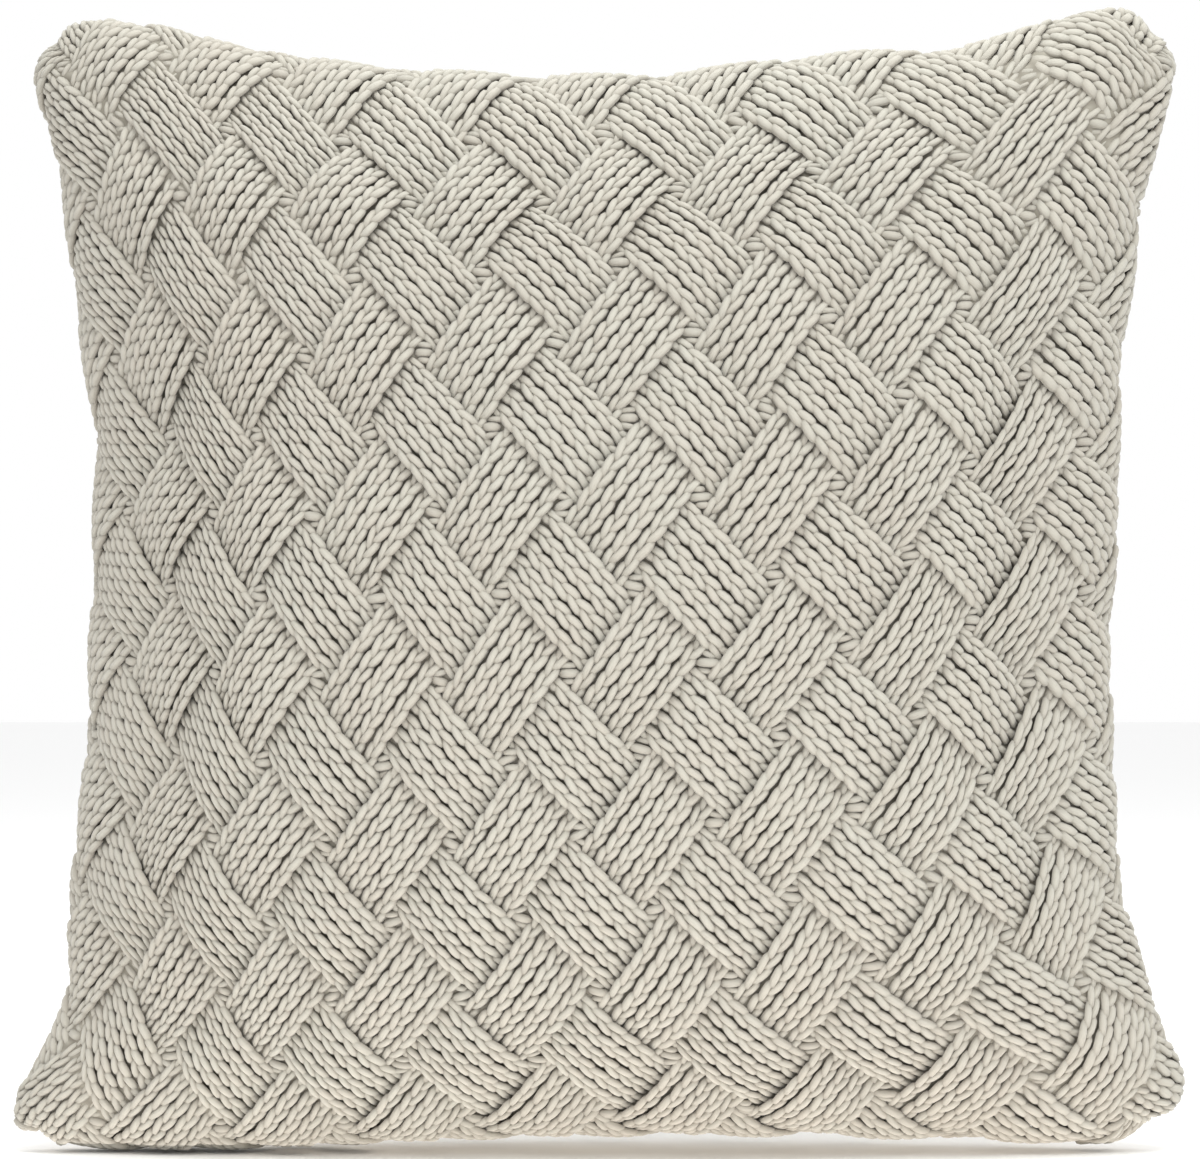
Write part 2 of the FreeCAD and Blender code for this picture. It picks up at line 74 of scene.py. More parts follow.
# %% [markdown]
# ## The filled shape
# A stuffed square doesn't stay square. Its middle bulges, its sides pull in, and its corners stay behind as
# blunt ears. We could model that by hand, but a short formula gives it evenly. Each point has a share across
# and a share up, from -1 to 1. The half thickness is the belly times the root of (1 - u^2)(1 - v^2) - c^2,
# where c blunts the corners, and the sides draw out with a power of the other share.

# %% The filled shape as a formula
WIDTH_MIDDLE = 436.0
HEIGHT_MIDDLE = 460.0
BELLY_HEIGHT = 225.0
PRESSED_EDGE = 15.0
TOP_CORNER_REACH = 42.5
BOTTOM_CORNER_REACH = 49.8
TOP_CORNER_RISE = 41.3
BOTTOM_CORNER_RISE = 8.0
CORNER_POWER = 2.2
CORNER_SOFTNESS = 0.12
HALF_DEPTH = (cad_high[1] - cad_low[1]) / 2 / MM
RIM_SHARE = math.sqrt(1 - CORNER_SOFTNESS ** 2)


def shares(p, q):
    """The shares across and up of a square's point p, q.

    They are sin(pi p / 2) and sin(pi q / 2), which crowd at the rim, drawn in from the square's edge to the
    blunt-cornered one, the more so the nearer the rim.
    """
    u, v = np.sin(np.pi / 2 * p), np.sin(np.pi / 2 * q)
    radius = np.maximum(np.hypot(u, v), 1e-9)
    cross = np.minimum((u * v / radius ** 2) ** 2, 0.25)
    spread = np.sqrt(np.maximum(1 - 4 * cross, 0))
    blunt = np.sqrt(np.maximum(1 - 4 * cross * (1 - CORNER_SOFTNESS ** 2), 0))
    square_reach = np.sqrt(np.where(cross > 1e-7, (1 - spread) / np.maximum(2 * cross, 1e-12), 1.0))
    ratio = np.sqrt(np.where(cross > 1e-7, (1 - blunt) / np.maximum(1 - spread, 1e-12), RIM_SHARE ** 2))
    nearness = np.minimum(radius / square_reach, 1) ** 6
    draw = RIM_SHARE + (ratio - RIM_SHARE) * nearness
    return u * draw, v * draw


def local_sizes(u, v, inset):
    """Half width and half height where the shares are u and v, for a form drawn in by inset."""
    upper = v >= 0
    reach = np.where(upper, TOP_CORNER_REACH, BOTTOM_CORNER_REACH)
    rise = np.where(upper, TOP_CORNER_RISE, -BOTTOM_CORNER_RISE)
    half_height = np.where(upper, HEIGHT_MIDDLE - BELLY_HEIGHT, BELLY_HEIGHT + PRESSED_EDGE)
    wide = (WIDTH_MIDDLE / 2 - inset) / RIM_SHARE + reach * np.abs(v) ** CORNER_POWER
    high = (half_height - inset) / RIM_SHARE + rise * np.abs(u) ** CORNER_POWER
    return wide, high


def filled_points(p, q, inset=0.0):
    """Points of the front half for p, q on the square.

    x is u times the half width, z the belly's height plus v times the half height, and y the half depth
    times the root of (1 - u^2)(1 - v^2) - c^2.
    """
    u, v = shares(p, q)
    wide, high = local_sizes(u, v, inset)
    full = np.maximum((1 - u ** 2) * (1 - v ** 2) - CORNER_SOFTNESS ** 2, 0)
    y = -(HALF_DEPTH - inset) * np.sqrt(full) / RIM_SHARE
    return np.stack([u * wide, y, BELLY_HEIGHT + v * high], axis=-1)


def filled_normals(p, q):
    """Outward directions of the front half: the slopes of (1 - u^2)(1 - v^2) less y's share squared."""
    u, v = shares(p, q)
    wide, high = local_sizes(u, v, 0.0)
    full = np.maximum((1 - u ** 2) * (1 - v ** 2) - CORNER_SOFTNESS ** 2, 0)
    normal = np.stack([u * (1 - v ** 2) / wide, -np.sqrt(full) * RIM_SHARE / HALF_DEPTH,
                       v * (1 - u ** 2) / high], axis=-1)
    return normal / np.linalg.norm(normal, axis=-1, keepdims=True)


# %% [markdown]
# ## Fabric coordinates
# Knitting has its own distances: a stitch is as long in the middle of the belly as at the rim. So each side
# of the cover gets coordinates s and t that run evenly along the cloth, from -254 to 254 mm, because the
# cover was a 508 mm square before it was filled. We measure the arc length along every line of the formula's
# grid and turn that table round, a few rounds of correction at a time.

# %% Spread a grid evenly over the cloth
FLAT_HALF = 254.0
CELLS = 112


def blend_table(table, p, q):
    """A table on the square, read between its entries with straight-line weights."""
    last = table.shape[0] - 1
    i = np.clip((p + 1) / 2 * last, 0, last - 1e-6)
    j = np.clip((q + 1) / 2 * last, 0, last - 1e-6)
    a, b = i.astype(int), j.astype(int)
    f, g = i - a, j - b
    low = table[a, b] * (1 - f) + table[a + 1, b] * f
    high = table[a, b + 1] * (1 - f) + table[a + 1, b + 1] * f
    return low * (1 - g) + high * g


def arc_share(points, axis):
    """The share of the arc length reached along an axis of a grid, from -1 to 1."""
    step = np.linalg.norm(np.diff(points, axis=axis), axis=-1)
    run = np.cumsum(step, axis=axis)
    start = np.zeros_like(np.take(run, [0], axis=axis))
    run = np.concatenate([start, run], axis=axis)
    return 2 * run / np.take(run, [-1], axis=axis) - 1


def even_square(cells):
    """The p and q whose points lie at even arc lengths, found by repeated correction."""
    line = np.linspace(-1, 1, 241)
    p_table, q_table = np.meshgrid(line, line, indexing="ij")
    points = filled_points(p_table, q_table)
    s_table, t_table = arc_share(points, 0), arc_share(points, 1)
    target = np.linspace(-1, 1, cells + 1)
    s, t = np.meshgrid(target, target, indexing="ij")
    p, q = s.copy(), t.copy()
    for _ in range(40):
        p = np.clip(p + 0.7 * (s - blend_table(s_table, p, q)), -1, 1)
        q = np.clip(q + 0.7 * (t - blend_table(t_table, p, q)), -1, 1)
    return p, q


even_p, even_q = even_square(CELLS)
print("grid of", CELLS, "by", CELLS, "cells on each side")

# %% [markdown]
# ## Where the zip lies
# The zip doesn't bulge with the cloth: its tapes hold the back to one long arc. The frame knows that arc
# from the slider's hinge, so any point can tell how far along the zip it is, how far across and how deep.

# %% The zip's arc
zip_joint = next(j for j in frame["record"]["behaviour"]["joints"] if j["name"] == "zip_open")
arc_centre = np.array(zip_joint["pos_m"]) / MM
arc_up = np.array(zip_joint["axis"]) / np.linalg.norm(zip_joint["axis"])
arc_out = np.cross(arc_up, [1.0, 0.0, 0.0])
coil_low, coil_high = np.array(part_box("zip_coil_upper")) / MM
ARC_DEPTH_OF_COIL = -4.3
middle_of_coil = np.array([0.0, coil_high[1], coil_low[2]])
ARC_RADIUS = float((middle_of_coil - arc_centre) @ arc_out) - ARC_DEPTH_OF_COIL
SLOT_HALF_LENGTH = 200.0
print("zip arc radius", round(ARC_RADIUS, 1), "mm")


def zip_place(points):
    """Distance along, across and above the zip's arc for points in millimetres."""
    away = points - arc_centre
    out = away @ arc_out
    radius = np.hypot(away[..., 0], out)
    return ARC_RADIUS * np.arctan2(away[..., 0], out), away @ arc_up, radius - ARC_RADIUS


def zip_point(along, across, above):
    """The point at distances along, across and above the arc, and the outward direction there."""
    angle = along / ARC_RADIUS
    outward = np.sin(angle)[..., None] * np.array([1.0, 0.0, 0.0]) + np.cos(angle)[..., None] * arc_out
    radius = (ARC_RADIUS + above)[..., None]
    return arc_centre + across[..., None] * arc_up + radius * outward, outward


def smooth_step(value, start, end):
    """0 before start, 1 after end, with an S-shaped rise between."""
    share = np.clip((value - start) / (end - start), 0, 1)
    return share * share * (3 - 2 * share)


def near_zip(points, inner, outer):
    """1 on the back beside the zip, 0 further than outer from it."""
    along, across, _ = zip_place(points)
    beside = 1 - smooth_step(np.abs(across), inner, outer)
    within = 1 - smooth_step(np.abs(along), SLOT_HALF_LENGTH, SLOT_HALF_LENGTH + outer)
    return beside * within * (points[..., 1] > 0)


# %% [markdown]
# ## Let the filling push
# A formula is too even. The real cover is a slack bag that the filling pushes tight, so we run a short cloth
# simulation: the bag starts a little small and slightly dented, gets pressure inside and no gravity, and
# each point may move only a few millimetres. What it moved is then read as a table and added to the
# formula, less and less towards the rim, whose linked seam hardly stretches.

# %% Plump the bag
START_INSET = 3.0
DENT_DEPTH = 2.5
MOST_MOVE = 5.0
BAG_STEP = 2
FRAMES = 20


def dents(points, depth):
    """Slow uneven waves over the bag: three sines with different lengths and directions."""
    x, y, z = points[..., 0], points[..., 1], points[..., 2]
    waves = np.sin(x / 43 + z / 71 + 1.0) + np.sin(z / 39 - x / 83 + 2.1) + np.sin((x + z) / 27 + y / 30)
    return depth * waves / 3


def bag_mesh(front, back):
    """A closed bag from both sides' points, joined along the rim, and its faces."""
    n = front.shape[0]
    index = np.arange(n * n).reshape(n, n)
    quads = np.stack([index[:-1, :-1], index[1:, :-1], index[1:, 1:], index[:-1, 1:]], axis=-1)
    quads = quads.reshape(-1, 4)
    rim = np.ones((n, n), bool)
    rim[1:-1, 1:-1] = False
    rim = rim.ravel()
    inner_number = np.cumsum(~rim) - 1 + n * n
    back_number = np.where(rim, index.ravel(), inner_number)
    faces = np.concatenate([quads, back_number[quads[:, ::-1]]])
    return np.concatenate([front.reshape(-1, 3), back.reshape(-1, 3)[~rim]]), faces, rim


def plump(front, back, start_front, start_back):
    """How far the pressure moves each point of both sides, from the formula's place."""
    points, faces, rim = bag_mesh(start_front, start_back)
    mesh = bpy.data.meshes.new("bag")
    mesh.from_pydata((points * MM).tolist(), [], faces.tolist())
    bag = bpy.data.objects.new("bag", mesh)
    bpy.context.scene.collection.objects.link(bag)
    cloth = bag.modifiers.new("cloth", "CLOTH")
    cloth.settings.quality = 5
    cloth.settings.mass = 0.3
    cloth.settings.tension_stiffness = 30
    cloth.settings.compression_stiffness = 30
    cloth.settings.shear_stiffness = 12
    cloth.settings.bending_stiffness = 2
    cloth.settings.use_pressure = True
    cloth.settings.uniform_pressure_force = 4
    cloth.settings.effector_weights.gravity = 0
    cloth.collision_settings.use_collision = False
    scene = bpy.context.scene
    for number in range(1, FRAMES + 1):
        scene.frame_set(number)
    settled = bag.evaluated_get(bpy.context.evaluated_depsgraph_get()).data
    moved = np.empty(len(settled.vertices) * 3, np.float32)
    settled.vertices.foreach_get("co", moved)
    shift = moved.reshape(-1, 3) / MM - points
    length = np.linalg.norm(shift, axis=1, keepdims=True)
    shift *= np.minimum(1, MOST_MOVE / np.maximum(length, 1e-6))
    scene.frame_set(1)
    bpy.data.objects.remove(bag)
    ended = points + shift
    n = front.shape[0]
    front_end = ended[:n * n].reshape(n, n, 3)
    back_end = front_end.copy().reshape(-1, 3)
    back_end[~rim] = ended[n * n:]
    return front_end - front, back_end.reshape(n, n, 3) - back


def finer(table):
    """A table on every second grid point, filled in between with straight lines."""
    rows = np.empty((2 * table.shape[0] - 1,) + table.shape[1:])
    rows[::2] = table
    rows[1::2] = (table[1:] + table[:-1]) / 2
    full = np.empty((rows.shape[0], 2 * rows.shape[1] - 1, 3))
    full[:, ::2] = rows
    full[:, 1::2] = (rows[:, 1:] + rows[:, :-1]) / 2
    return full


MIRROR = np.array([1.0, -1.0, 1.0])
formula_front = filled_points(even_p, even_q)
formula_back = formula_front * MIRROR
front_shift = np.zeros_like(formula_front)
back_shift = np.zeros_like(formula_back)
few = (slice(None, None, BAG_STEP), slice(None, None, BAG_STEP))
small = filled_points(even_p, even_q, START_INSET)[few]
dented = small + filled_normals(even_p, even_q)[few] * dents(small, DENT_DEPTH)[..., None]
back_dents = dents(-small, DENT_DEPTH)[..., None]
dented_back = small * MIRROR + (filled_normals(even_p, even_q) * MIRROR)[few] * back_dents
coarse_front, coarse_back = plump(formula_front[few], formula_back[few], dented, dented_back)
hold = smooth_step(-formula_front[..., 1] / HALF_DEPTH, 0.0, 0.5)[..., None]
front_shift, back_shift = finer(coarse_front) * hold, finer(coarse_back) * hold
back_shift *= (1 - near_zip(formula_back, 18.0, 60.0))[..., None]
print("cloth moved the front by up to", round(float(np.abs(front_shift).max()), 1), "mm")

# %% [markdown]
# ## Stand it on the floor
# The pillow's weight presses its lower edge flat, and the cloth between the two lower corners arches a
# little off the floor. Heights near the floor are squeezed with a soft ramp that never goes below it. No
# real pillow is even, so a few soft pushes make its edges wander, and each corner is rounded to its own
# radius. Sculpting would do as well, but numbers for place, width and push say what was done.

# %% Settle on the floor
SQUEEZE = 7.0
ARCH_HEIGHT = 9.0
ARCH_MIDDLE = 40.0
ARCH_HALF_WIDTH = 225.0
TOP_PUSHES = [(-190.0, 34.0, 3.0), (90.0, 45.0, 5.0), (208.0, 34.0, 7.0)]
SIDE_PUSHES = [(-1, 64.0, 32.0, -9.0), (-1, 16.0, 26.0, 4.0), (-1, 305.0, 50.0, -4.5),
               (-1, 410.0, 40.0, -4.0), (1, 110.0, 40.0, -4.0), (1, 34.0, 22.0, 3.0),
               (1, 272.0, 34.0, 3.0), (1, 466.0, 24.0, 5.0)]
CORNERS = [(-1, 1, 210.0, 452.0, 32.0), (1, 1, 214.0, 455.0, 34.0), (-1, -1, 226.0, 22.0, 24.0),
           (1, -1, 212.0, 38.0, 38.0)]


def bell(value, middle, width):
    """A bell: e to the minus square of the distance from its middle in widths."""
    return np.exp(-((value - middle) / width) ** 2)


def settle(points, inset=0.0):
    """Floor, pushes and corners. Heights go through w ln(1 + e^(z/w)), less its value at the pressed edge.

    A push is a bell along an edge, fading inward. A corner is a square turned into a quarter disc: its
    points keep their direction from the corner's centre, and the longer of their offsets becomes their
    distance.
    """
    x, y, z = (points[..., axis] for axis in range(3))
    height = z - inset
    ramp = SQUEEZE * np.logaddexp(0, height / SQUEEZE) - SQUEEZE * np.logaddexp(0, -PRESSED_EDGE / SQUEEZE)
    arch = np.clip(1 - ((x - ARCH_MIDDLE) / ARCH_HALF_WIDTH) ** 2, 0, 1) ** 1.5
    away = np.exp(-(np.maximum(height, -PRESSED_EDGE) + PRESSED_EDGE) / 34)
    z = np.maximum(ramp, 0) + inset + ARCH_HEIGHT * arch * away * (1 - near_zip(points, 18.0, 60.0))
    for middle, width, push in TOP_PUSHES:
        z = z + push * bell(x, middle, width) * smooth_step(points[..., 2], 300.0, 470.0)
    for side, middle, width, push in SIDE_PUSHES:
        x = x + side * push * bell(z, middle, width) * smooth_step(side * points[..., 0], 110.0, 230.0)
    for side, end, corner_x, corner_z, radius in CORNERS:
        out_x = np.maximum(side * x - corner_x, 0)
        out_z = np.maximum(end * (z - corner_z), 0)
        longer = np.maximum(out_x, out_z)
        short_fall = 1 - longer / np.maximum(np.hypot(out_x, out_z), 1e-6)
        drawn = np.where(longer > 0, short_fall, 0) * smooth_step(longer / (radius - inset), 0.0, 1.0)
        x = x - side * out_x * drawn
        z = z - end * out_z * drawn
    return np.stack([x, y, z], axis=-1)


def arc_outward(points):
    """The outward direction of the zip's arc beside each point."""
    angle = np.arctan2(points[..., 0], (points - arc_centre) @ arc_out)
    return np.sin(angle)[..., None] * np.array([1.0, 0.0, 0.0]) + np.cos(angle)[..., None] * arc_out


front_grid = settle(formula_front + front_shift)
loose_back = settle(formula_back + back_shift)
held = -zip_place(loose_back)[2] * near_zip(loose_back, 12.0, 45.0)
zip_shift = arc_outward(loose_back) * held[..., None]
back_grid = loose_back + zip_shift
print("the zip holds the cloth in or out by up to", round(float(np.abs(held).max()), 1), "mm")
lowest, highest = front_grid[..., 2].min(), front_grid[..., 2].max()
print("lowest", round(float(lowest), 2), "highest", round(float(highest), 1))

# %% [markdown]
# ## Reading the cloth anywhere
# Every stitch must be placed on the curved cloth, so we need its point and outward direction at any s, t.
# Each side's grid is carried on over the rim with rows of the other side, so a stitch may lean round the
# edge. Between grid points, smooth cubic weights give the point, and straight-line weights the direction.

# %% Cloth sides that can be read anywhere
MARGIN = 8


def carry_over(near, far):
    """A side's grid with MARGIN rows of the other side beyond each edge, folded back over the rim."""
    index = np.arange(-MARGIN, CELLS + 1 + MARGIN)
    folded = np.where(index < 0, -index, np.where(index > CELLS, 2 * CELLS - index, index))
    beyond = (index < 0) | (index > CELLS)
    other = (beyond[:, None] | beyond[None, :])[..., None]
    return np.where(other, far[folded][:, folded], near[folded][:, folded])


def cubic_weights(f):
    """The four weights of a smooth cubic through its points."""
    return np.stack([-0.5 * f + f ** 2 - 0.5 * f ** 3, 1 - 2.5 * f ** 2 + 1.5 * f ** 3,
                     0.5 * f + 2 * f ** 2 - 1.5 * f ** 3, -0.5 * f ** 2 + 0.5 * f ** 3])


class ClothSide:
    """One side of the cover, with its points and outward directions at any fabric coordinates."""

    def __init__(self, points, normals):
        self.points, self.normals = points, normals

    def read(self, s, t):
        cell = 2 * FLAT_HALF / CELLS
        last = self.points.shape[0] - 3
        i = np.clip((s + FLAT_HALF) / cell + MARGIN, 1, last - 1e-6)
        j = np.clip((t + FLAT_HALF) / cell + MARGIN, 1, last - 1e-6)
        a, b = i.astype(int), j.astype(int)
        f, g = i - a, j - b
        across, up = cubic_weights(f), cubic_weights(g)
        point = np.zeros(s.shape + (3,))
        for m in range(4):
            for n in range(4):
                point += (across[m] * up[n])[..., None] * self.points[a + m - 1, b + n - 1]
        f, g = f[..., None], g[..., None]
        low = self.normals[a, b] * (1 - f) + self.normals[a + 1, b] * f
        high = self.normals[a, b + 1] * (1 - f) + self.normals[a + 1, b + 1] * f
        normal = low * (1 - g) + high * g
        return point, normal / np.linalg.norm(normal, axis=-1, keepdims=True)


front_normals = filled_normals(even_p, even_q)
back_normals = front_normals * MIRROR
front_side = ClothSide(carry_over(front_grid, back_grid), carry_over(front_normals, back_normals))
back_side = ClothSide(carry_over(back_grid, front_grid)[::-1], carry_over(back_normals, front_normals)[::-1])

# %% [markdown]
# ## From arrays to meshes
# Blender wants vertices, face corners and face starts. One helper takes whole arrays and fills a mesh at
# once, with smooth faces, its UV maps and any value per vertex that a finish will read.

# %% A mesh from arrays


def make_piece(name, points_mm, faces, uvs=None, values=None):
    """A mesh object from points in millimetres and a list of face arrays, each with one row per face.

    uvs is a dictionary of UV maps and values one of numbers per vertex. The piece rides on the cushion.
    """
    mesh = bpy.data.meshes.new(name)
    flat = np.concatenate([block.ravel() for block in faces])
    sizes = np.concatenate([np.full(len(block), block.shape[1]) for block in faces])
    starts = np.concatenate([[0], np.cumsum(sizes)[:-1]])
    mesh.vertices.add(len(points_mm))
    mesh.vertices.foreach_set("co", (points_mm * MM).astype(np.float32).ravel())
    mesh.loops.add(len(flat))
    mesh.loops.foreach_set("vertex_index", flat.astype(np.int32))
    mesh.polygons.add(len(sizes))
    mesh.polygons.foreach_set("loop_start", starts.astype(np.int32))
    mesh.polygons.foreach_set("loop_total", sizes.astype(np.int32))
    mesh.polygons.foreach_set("use_smooth", np.ones(len(sizes), bool))
    mesh.update(calc_edges=True)
    for map_name, corner_uv in (uvs or {}).items():
        layer = mesh.uv_layers.new(name=map_name)
        layer.data.foreach_set("uv", corner_uv.astype(np.float32).ravel())
    for value_name, per_vertex in (values or {}).items():
        attribute = mesh.attributes.new(value_name, "FLOAT", "POINT")
        attribute.data.foreach_set("value", per_vertex.astype(np.float32).ravel())
    mesh.validate()
    piece = bpy.data.objects.new(name, mesh)
    bpy.context.scene.collection.objects.link(piece)
    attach(piece, "cushion")
    return piece


# %% [markdown]
# ## One leg of a stitch
# A knitted stitch shows as a V of two short plump legs. Every leg is the same lozenge of yarn: fat in the
# middle, thin where it dives under its neighbours. We make it once, with few faces, because it will be
# repeated thousands of times: six sides, six rings and two tips.

# %% The leg's own mesh
SIDES = 6
RING_PLACES = np.array([-0.90, -0.62, -0.24, 0.20, 0.60, 0.90])
LEG_LENGTH = 12.2
LEG_RADIUS = 1.84
LEG_SINK = 1.3


def leg_template():
    """Along, across and height factors of the leg's points, and its faces.

    The radius follows (1 - x^4)^0.6, x being the place along the leg from -1 to 1.
    """
    angle = 2 * np.pi * np.arange(SIDES) / SIDES
    girth = (1 - RING_PLACES ** 4) ** 0.6
    along = np.concatenate([[-1.0], np.repeat(RING_PLACES, SIDES), [1.0]])
    across = np.concatenate([[0.0], np.outer(girth, np.cos(angle)).ravel(), [0.0]])
    height = np.concatenate([[0.0], np.outer(girth, np.sin(angle)).ravel(), [0.0]])
    side = np.arange(SIDES)
    after = (side + 1) % SIDES
    ring = 1 + SIDES * np.arange(len(RING_PLACES) - 1)[:, None]
    quads = np.stack([ring + side, ring + after, ring + SIDES + after, ring + SIDES + side], axis=-1)
    first = np.stack([np.zeros(SIDES, int), 1 + after, 1 + side], axis=-1)
    base = 1 + SIDES * (len(RING_PLACES) - 1)
    tip = np.full(SIDES, len(along) - 1)
    last = np.stack([tip, base + side, base + after], axis=-1)
    return along, across, height, quads.reshape(-1, 4), np.concatenate([first, last])


leg_along, leg_across, leg_height, leg_quads, leg_tips = leg_template()
print("one leg:", len(leg_along), "points,", len(leg_quads) + len(leg_tips), "faces")


def leg_uv(faces):
    """The UV of a leg's face corners: along the leg, and round it with the last side carried past 1."""
    places = (leg_along[faces] + 1) / 2
    turn = np.arctan2(leg_height, leg_across)[faces] / (2 * np.pi) % 1
    turn = np.where((turn.max(axis=1, keepdims=True) - turn) > 0.5, turn + 1, turn)
    poles = (faces == 0) | (faces == len(leg_along) - 1)
    on_ring = np.maximum((~poles).sum(axis=1, keepdims=True), 1)
    ring_mean = np.where(poles, 0, turn).sum(axis=1, keepdims=True) / on_ring
    turn = np.where(poles, ring_mean, turn)
    return np.stack([places, turn / (1 + 1 / SIDES)], axis=-1)


quad_uv, tip_uv = leg_uv(leg_quads), leg_uv(leg_tips)

# %% [markdown]
# Thousands of legs as thousands of objects would choke the file, and instances would stand stiffly where
# the real ones follow the cloth. So a piece is one mesh: the leg's faces are repeated with shifted numbers
# around points that are already in place. Yarn that would reach through the floor is pressed flat on it.

# %% Many legs as one mesh
CELL_MARGIN = 0.08


def legs_piece(name, points, lift, tone):
    """One mesh of many legs, with a UV map for the yarn's ply and another with one cell for each leg."""
    legs = len(points)
    shift = (np.arange(legs) * len(leg_along))[:, None, None]
    quads = (leg_quads[None] + shift).reshape(-1, 4)
    tips = (leg_tips[None] + shift).reshape(-1, 3)
    ply = np.concatenate([np.tile(uv.reshape(-1, 2), (legs, 1)) for uv in (quad_uv, tip_uv)])
    across_cells = math.ceil(math.sqrt(legs))
    cell = np.stack([np.arange(legs) % across_cells, np.arange(legs) // across_cells], axis=-1)

    def in_cells(uv):
        inner = CELL_MARGIN + (1 - 2 * CELL_MARGIN) * uv.reshape(-1, 2)[None]
        return (cell[:, None, :] + inner).reshape(-1, 2) / across_cells

    cells = np.concatenate([in_cells(quad_uv), in_cells(tip_uv)])
    # lift, how high a point lies in its leg, sets the painted shade in the yarn finish; tone is a random
    # tint of each leg.
    values = {"lift": lift.ravel(), "tone": np.repeat(tone, len(leg_along))}
    points = points.reshape(-1, 3).copy()
    points[:, 2] = np.maximum(points[:, 2], 0.0)
    print(f"{name}: {legs} legs")
    return make_piece(name, points, [quads, tips], uvs={"Ply": ply, "OFBake": cells}, values=values)


# %% [markdown]
# ## The basket of cables
# The cover is knitted as two families of five-stitch-wide cables that pass over and under each other, like
# woven straps laid on the slant. A crossing lattice places them: one step runs down to the right, the other
# up to the right. Where a cable is on top it rises, and at both ends it dives under its neighbours. Only the
# parts on top are seen, so only they are made.

# %% The lattice of crossings
PERIOD_ACROSS = 57.8
PERIOD_UP = 66.0
LATTICE_TURN = math.radians(3.8)
LATTICE_CENTRE = (12.8, 51.0)
STRETCH = 3.0e-4
WALES = 5
WALE_PITCH = 7.45
STITCHES = 7
STITCH_PITCH = 8.3
CABLE_RISE = 4.0
KNIT_LEVEL = -4.9
EDGE_FALL = 1.9
BLOCK_REACH = 9
RIM_LIFT = 2.2
RIM_CALM = 0.45
falling_step = np.array([PERIOD_ACROSS / 2, -PERIOD_UP / 2])
rising_step = np.array([PERIOD_ACROSS / 2, PERIOD_UP / 2])
CROSSING = float(np.linalg.norm(rising_step))
STEPS = {"falling": (falling_step / CROSSING, rising_step / CROSSING),
         "rising": (rising_step / CROSSING, falling_step / CROSSING)}


def to_cloth(x, y):
    """Pattern millimetres to fabric coordinates: a turn, a stretch that grows across, and slow drifts.

    The stretch adds k x^2, and each drift is a sum of two sines of a few hundred millimetres.
    """
    c, n = math.cos(LATTICE_TURN), math.sin(LATTICE_TURN)
    turned_x, turned_y = c * x - n * y, n * x + c * y
    drift_s = 1.3 * np.sin(turned_y / 49 + 0.6) + 0.8 * np.sin(turned_x / 33 + turned_y / 57)
    drift_t = 1.3 * np.sin(turned_x / 52 + 1.9) + 0.8 * np.sin(turned_y / 31 - turned_x / 64)
    s = LATTICE_CENTRE[0] + turned_x + STRETCH * turned_x ** 2 + drift_s
    return s, LATTICE_CENTRE[1] + turned_y + drift_t


def lattice_points(shift_x, shift_y):
    """The lattice's points, shifted by shares of its two periods, well past the cloth's edges."""
    i, j = np.meshgrid(np.arange(-BLOCK_REACH, BLOCK_REACH + 1), np.arange(-BLOCK_REACH, BLOCK_REACH + 1),
                       indexing="ij")
    return np.stack([(i.ravel() + shift_x) * PERIOD_ACROSS, (j.ravel() + shift_y) * PERIOD_UP], axis=-1)


def on_cloth(side, px, py, height, rise, keep):
    """Pattern points laid on a side at height + rise, one row for each leg, and which legs are kept.

    Near the rim the two sides draw together: the knit comes up and its relief gets calmer.
    """
    s, t = to_cloth(px, py)
    middle, _ = side.read(s.mean(axis=1), t.mean(axis=1))
    made = keep(s.mean(axis=1), t.mean(axis=1), middle)
    point, normal = side.read(s[made], t[made])
    at_rim = 1 - smooth_step(np.abs(point[..., 1]) / HALF_DEPTH, 0.02, 0.5)
    level = height[made] + RIM_LIFT * at_rim + rise[made] * (1 - RIM_CALM * at_rim)
    return point + normal * level[..., None], made, t.mean(axis=1)[made]


# %% [markdown]
# A leg leans away from its wale's middle, its lower tip sinks between the legs of the stitch below, and hand
# and machine leave small differences from one stitch to the next. All legs of a family go through the same
# arithmetic at once: along and across the block, then to the cloth, then out along the cloth's normal.

# %% Lay the legs of one family
LEAN = {"falling": math.radians(8.0), "rising": math.radians(9.0)}
LEG_OFFSET = 1.42
STAGGER = 0.25
SEEDS = {"falling": 11, "rising": 23}


def leg_heights(sink):
    """Height of a leg's points over its own middle: its round section less a dip to both ends."""
    dip = sink * np.abs(leg_along) ** 2.5 + 0.4 * (1 - leg_along) / 2
    return leg_height * LEG_RADIUS - dip


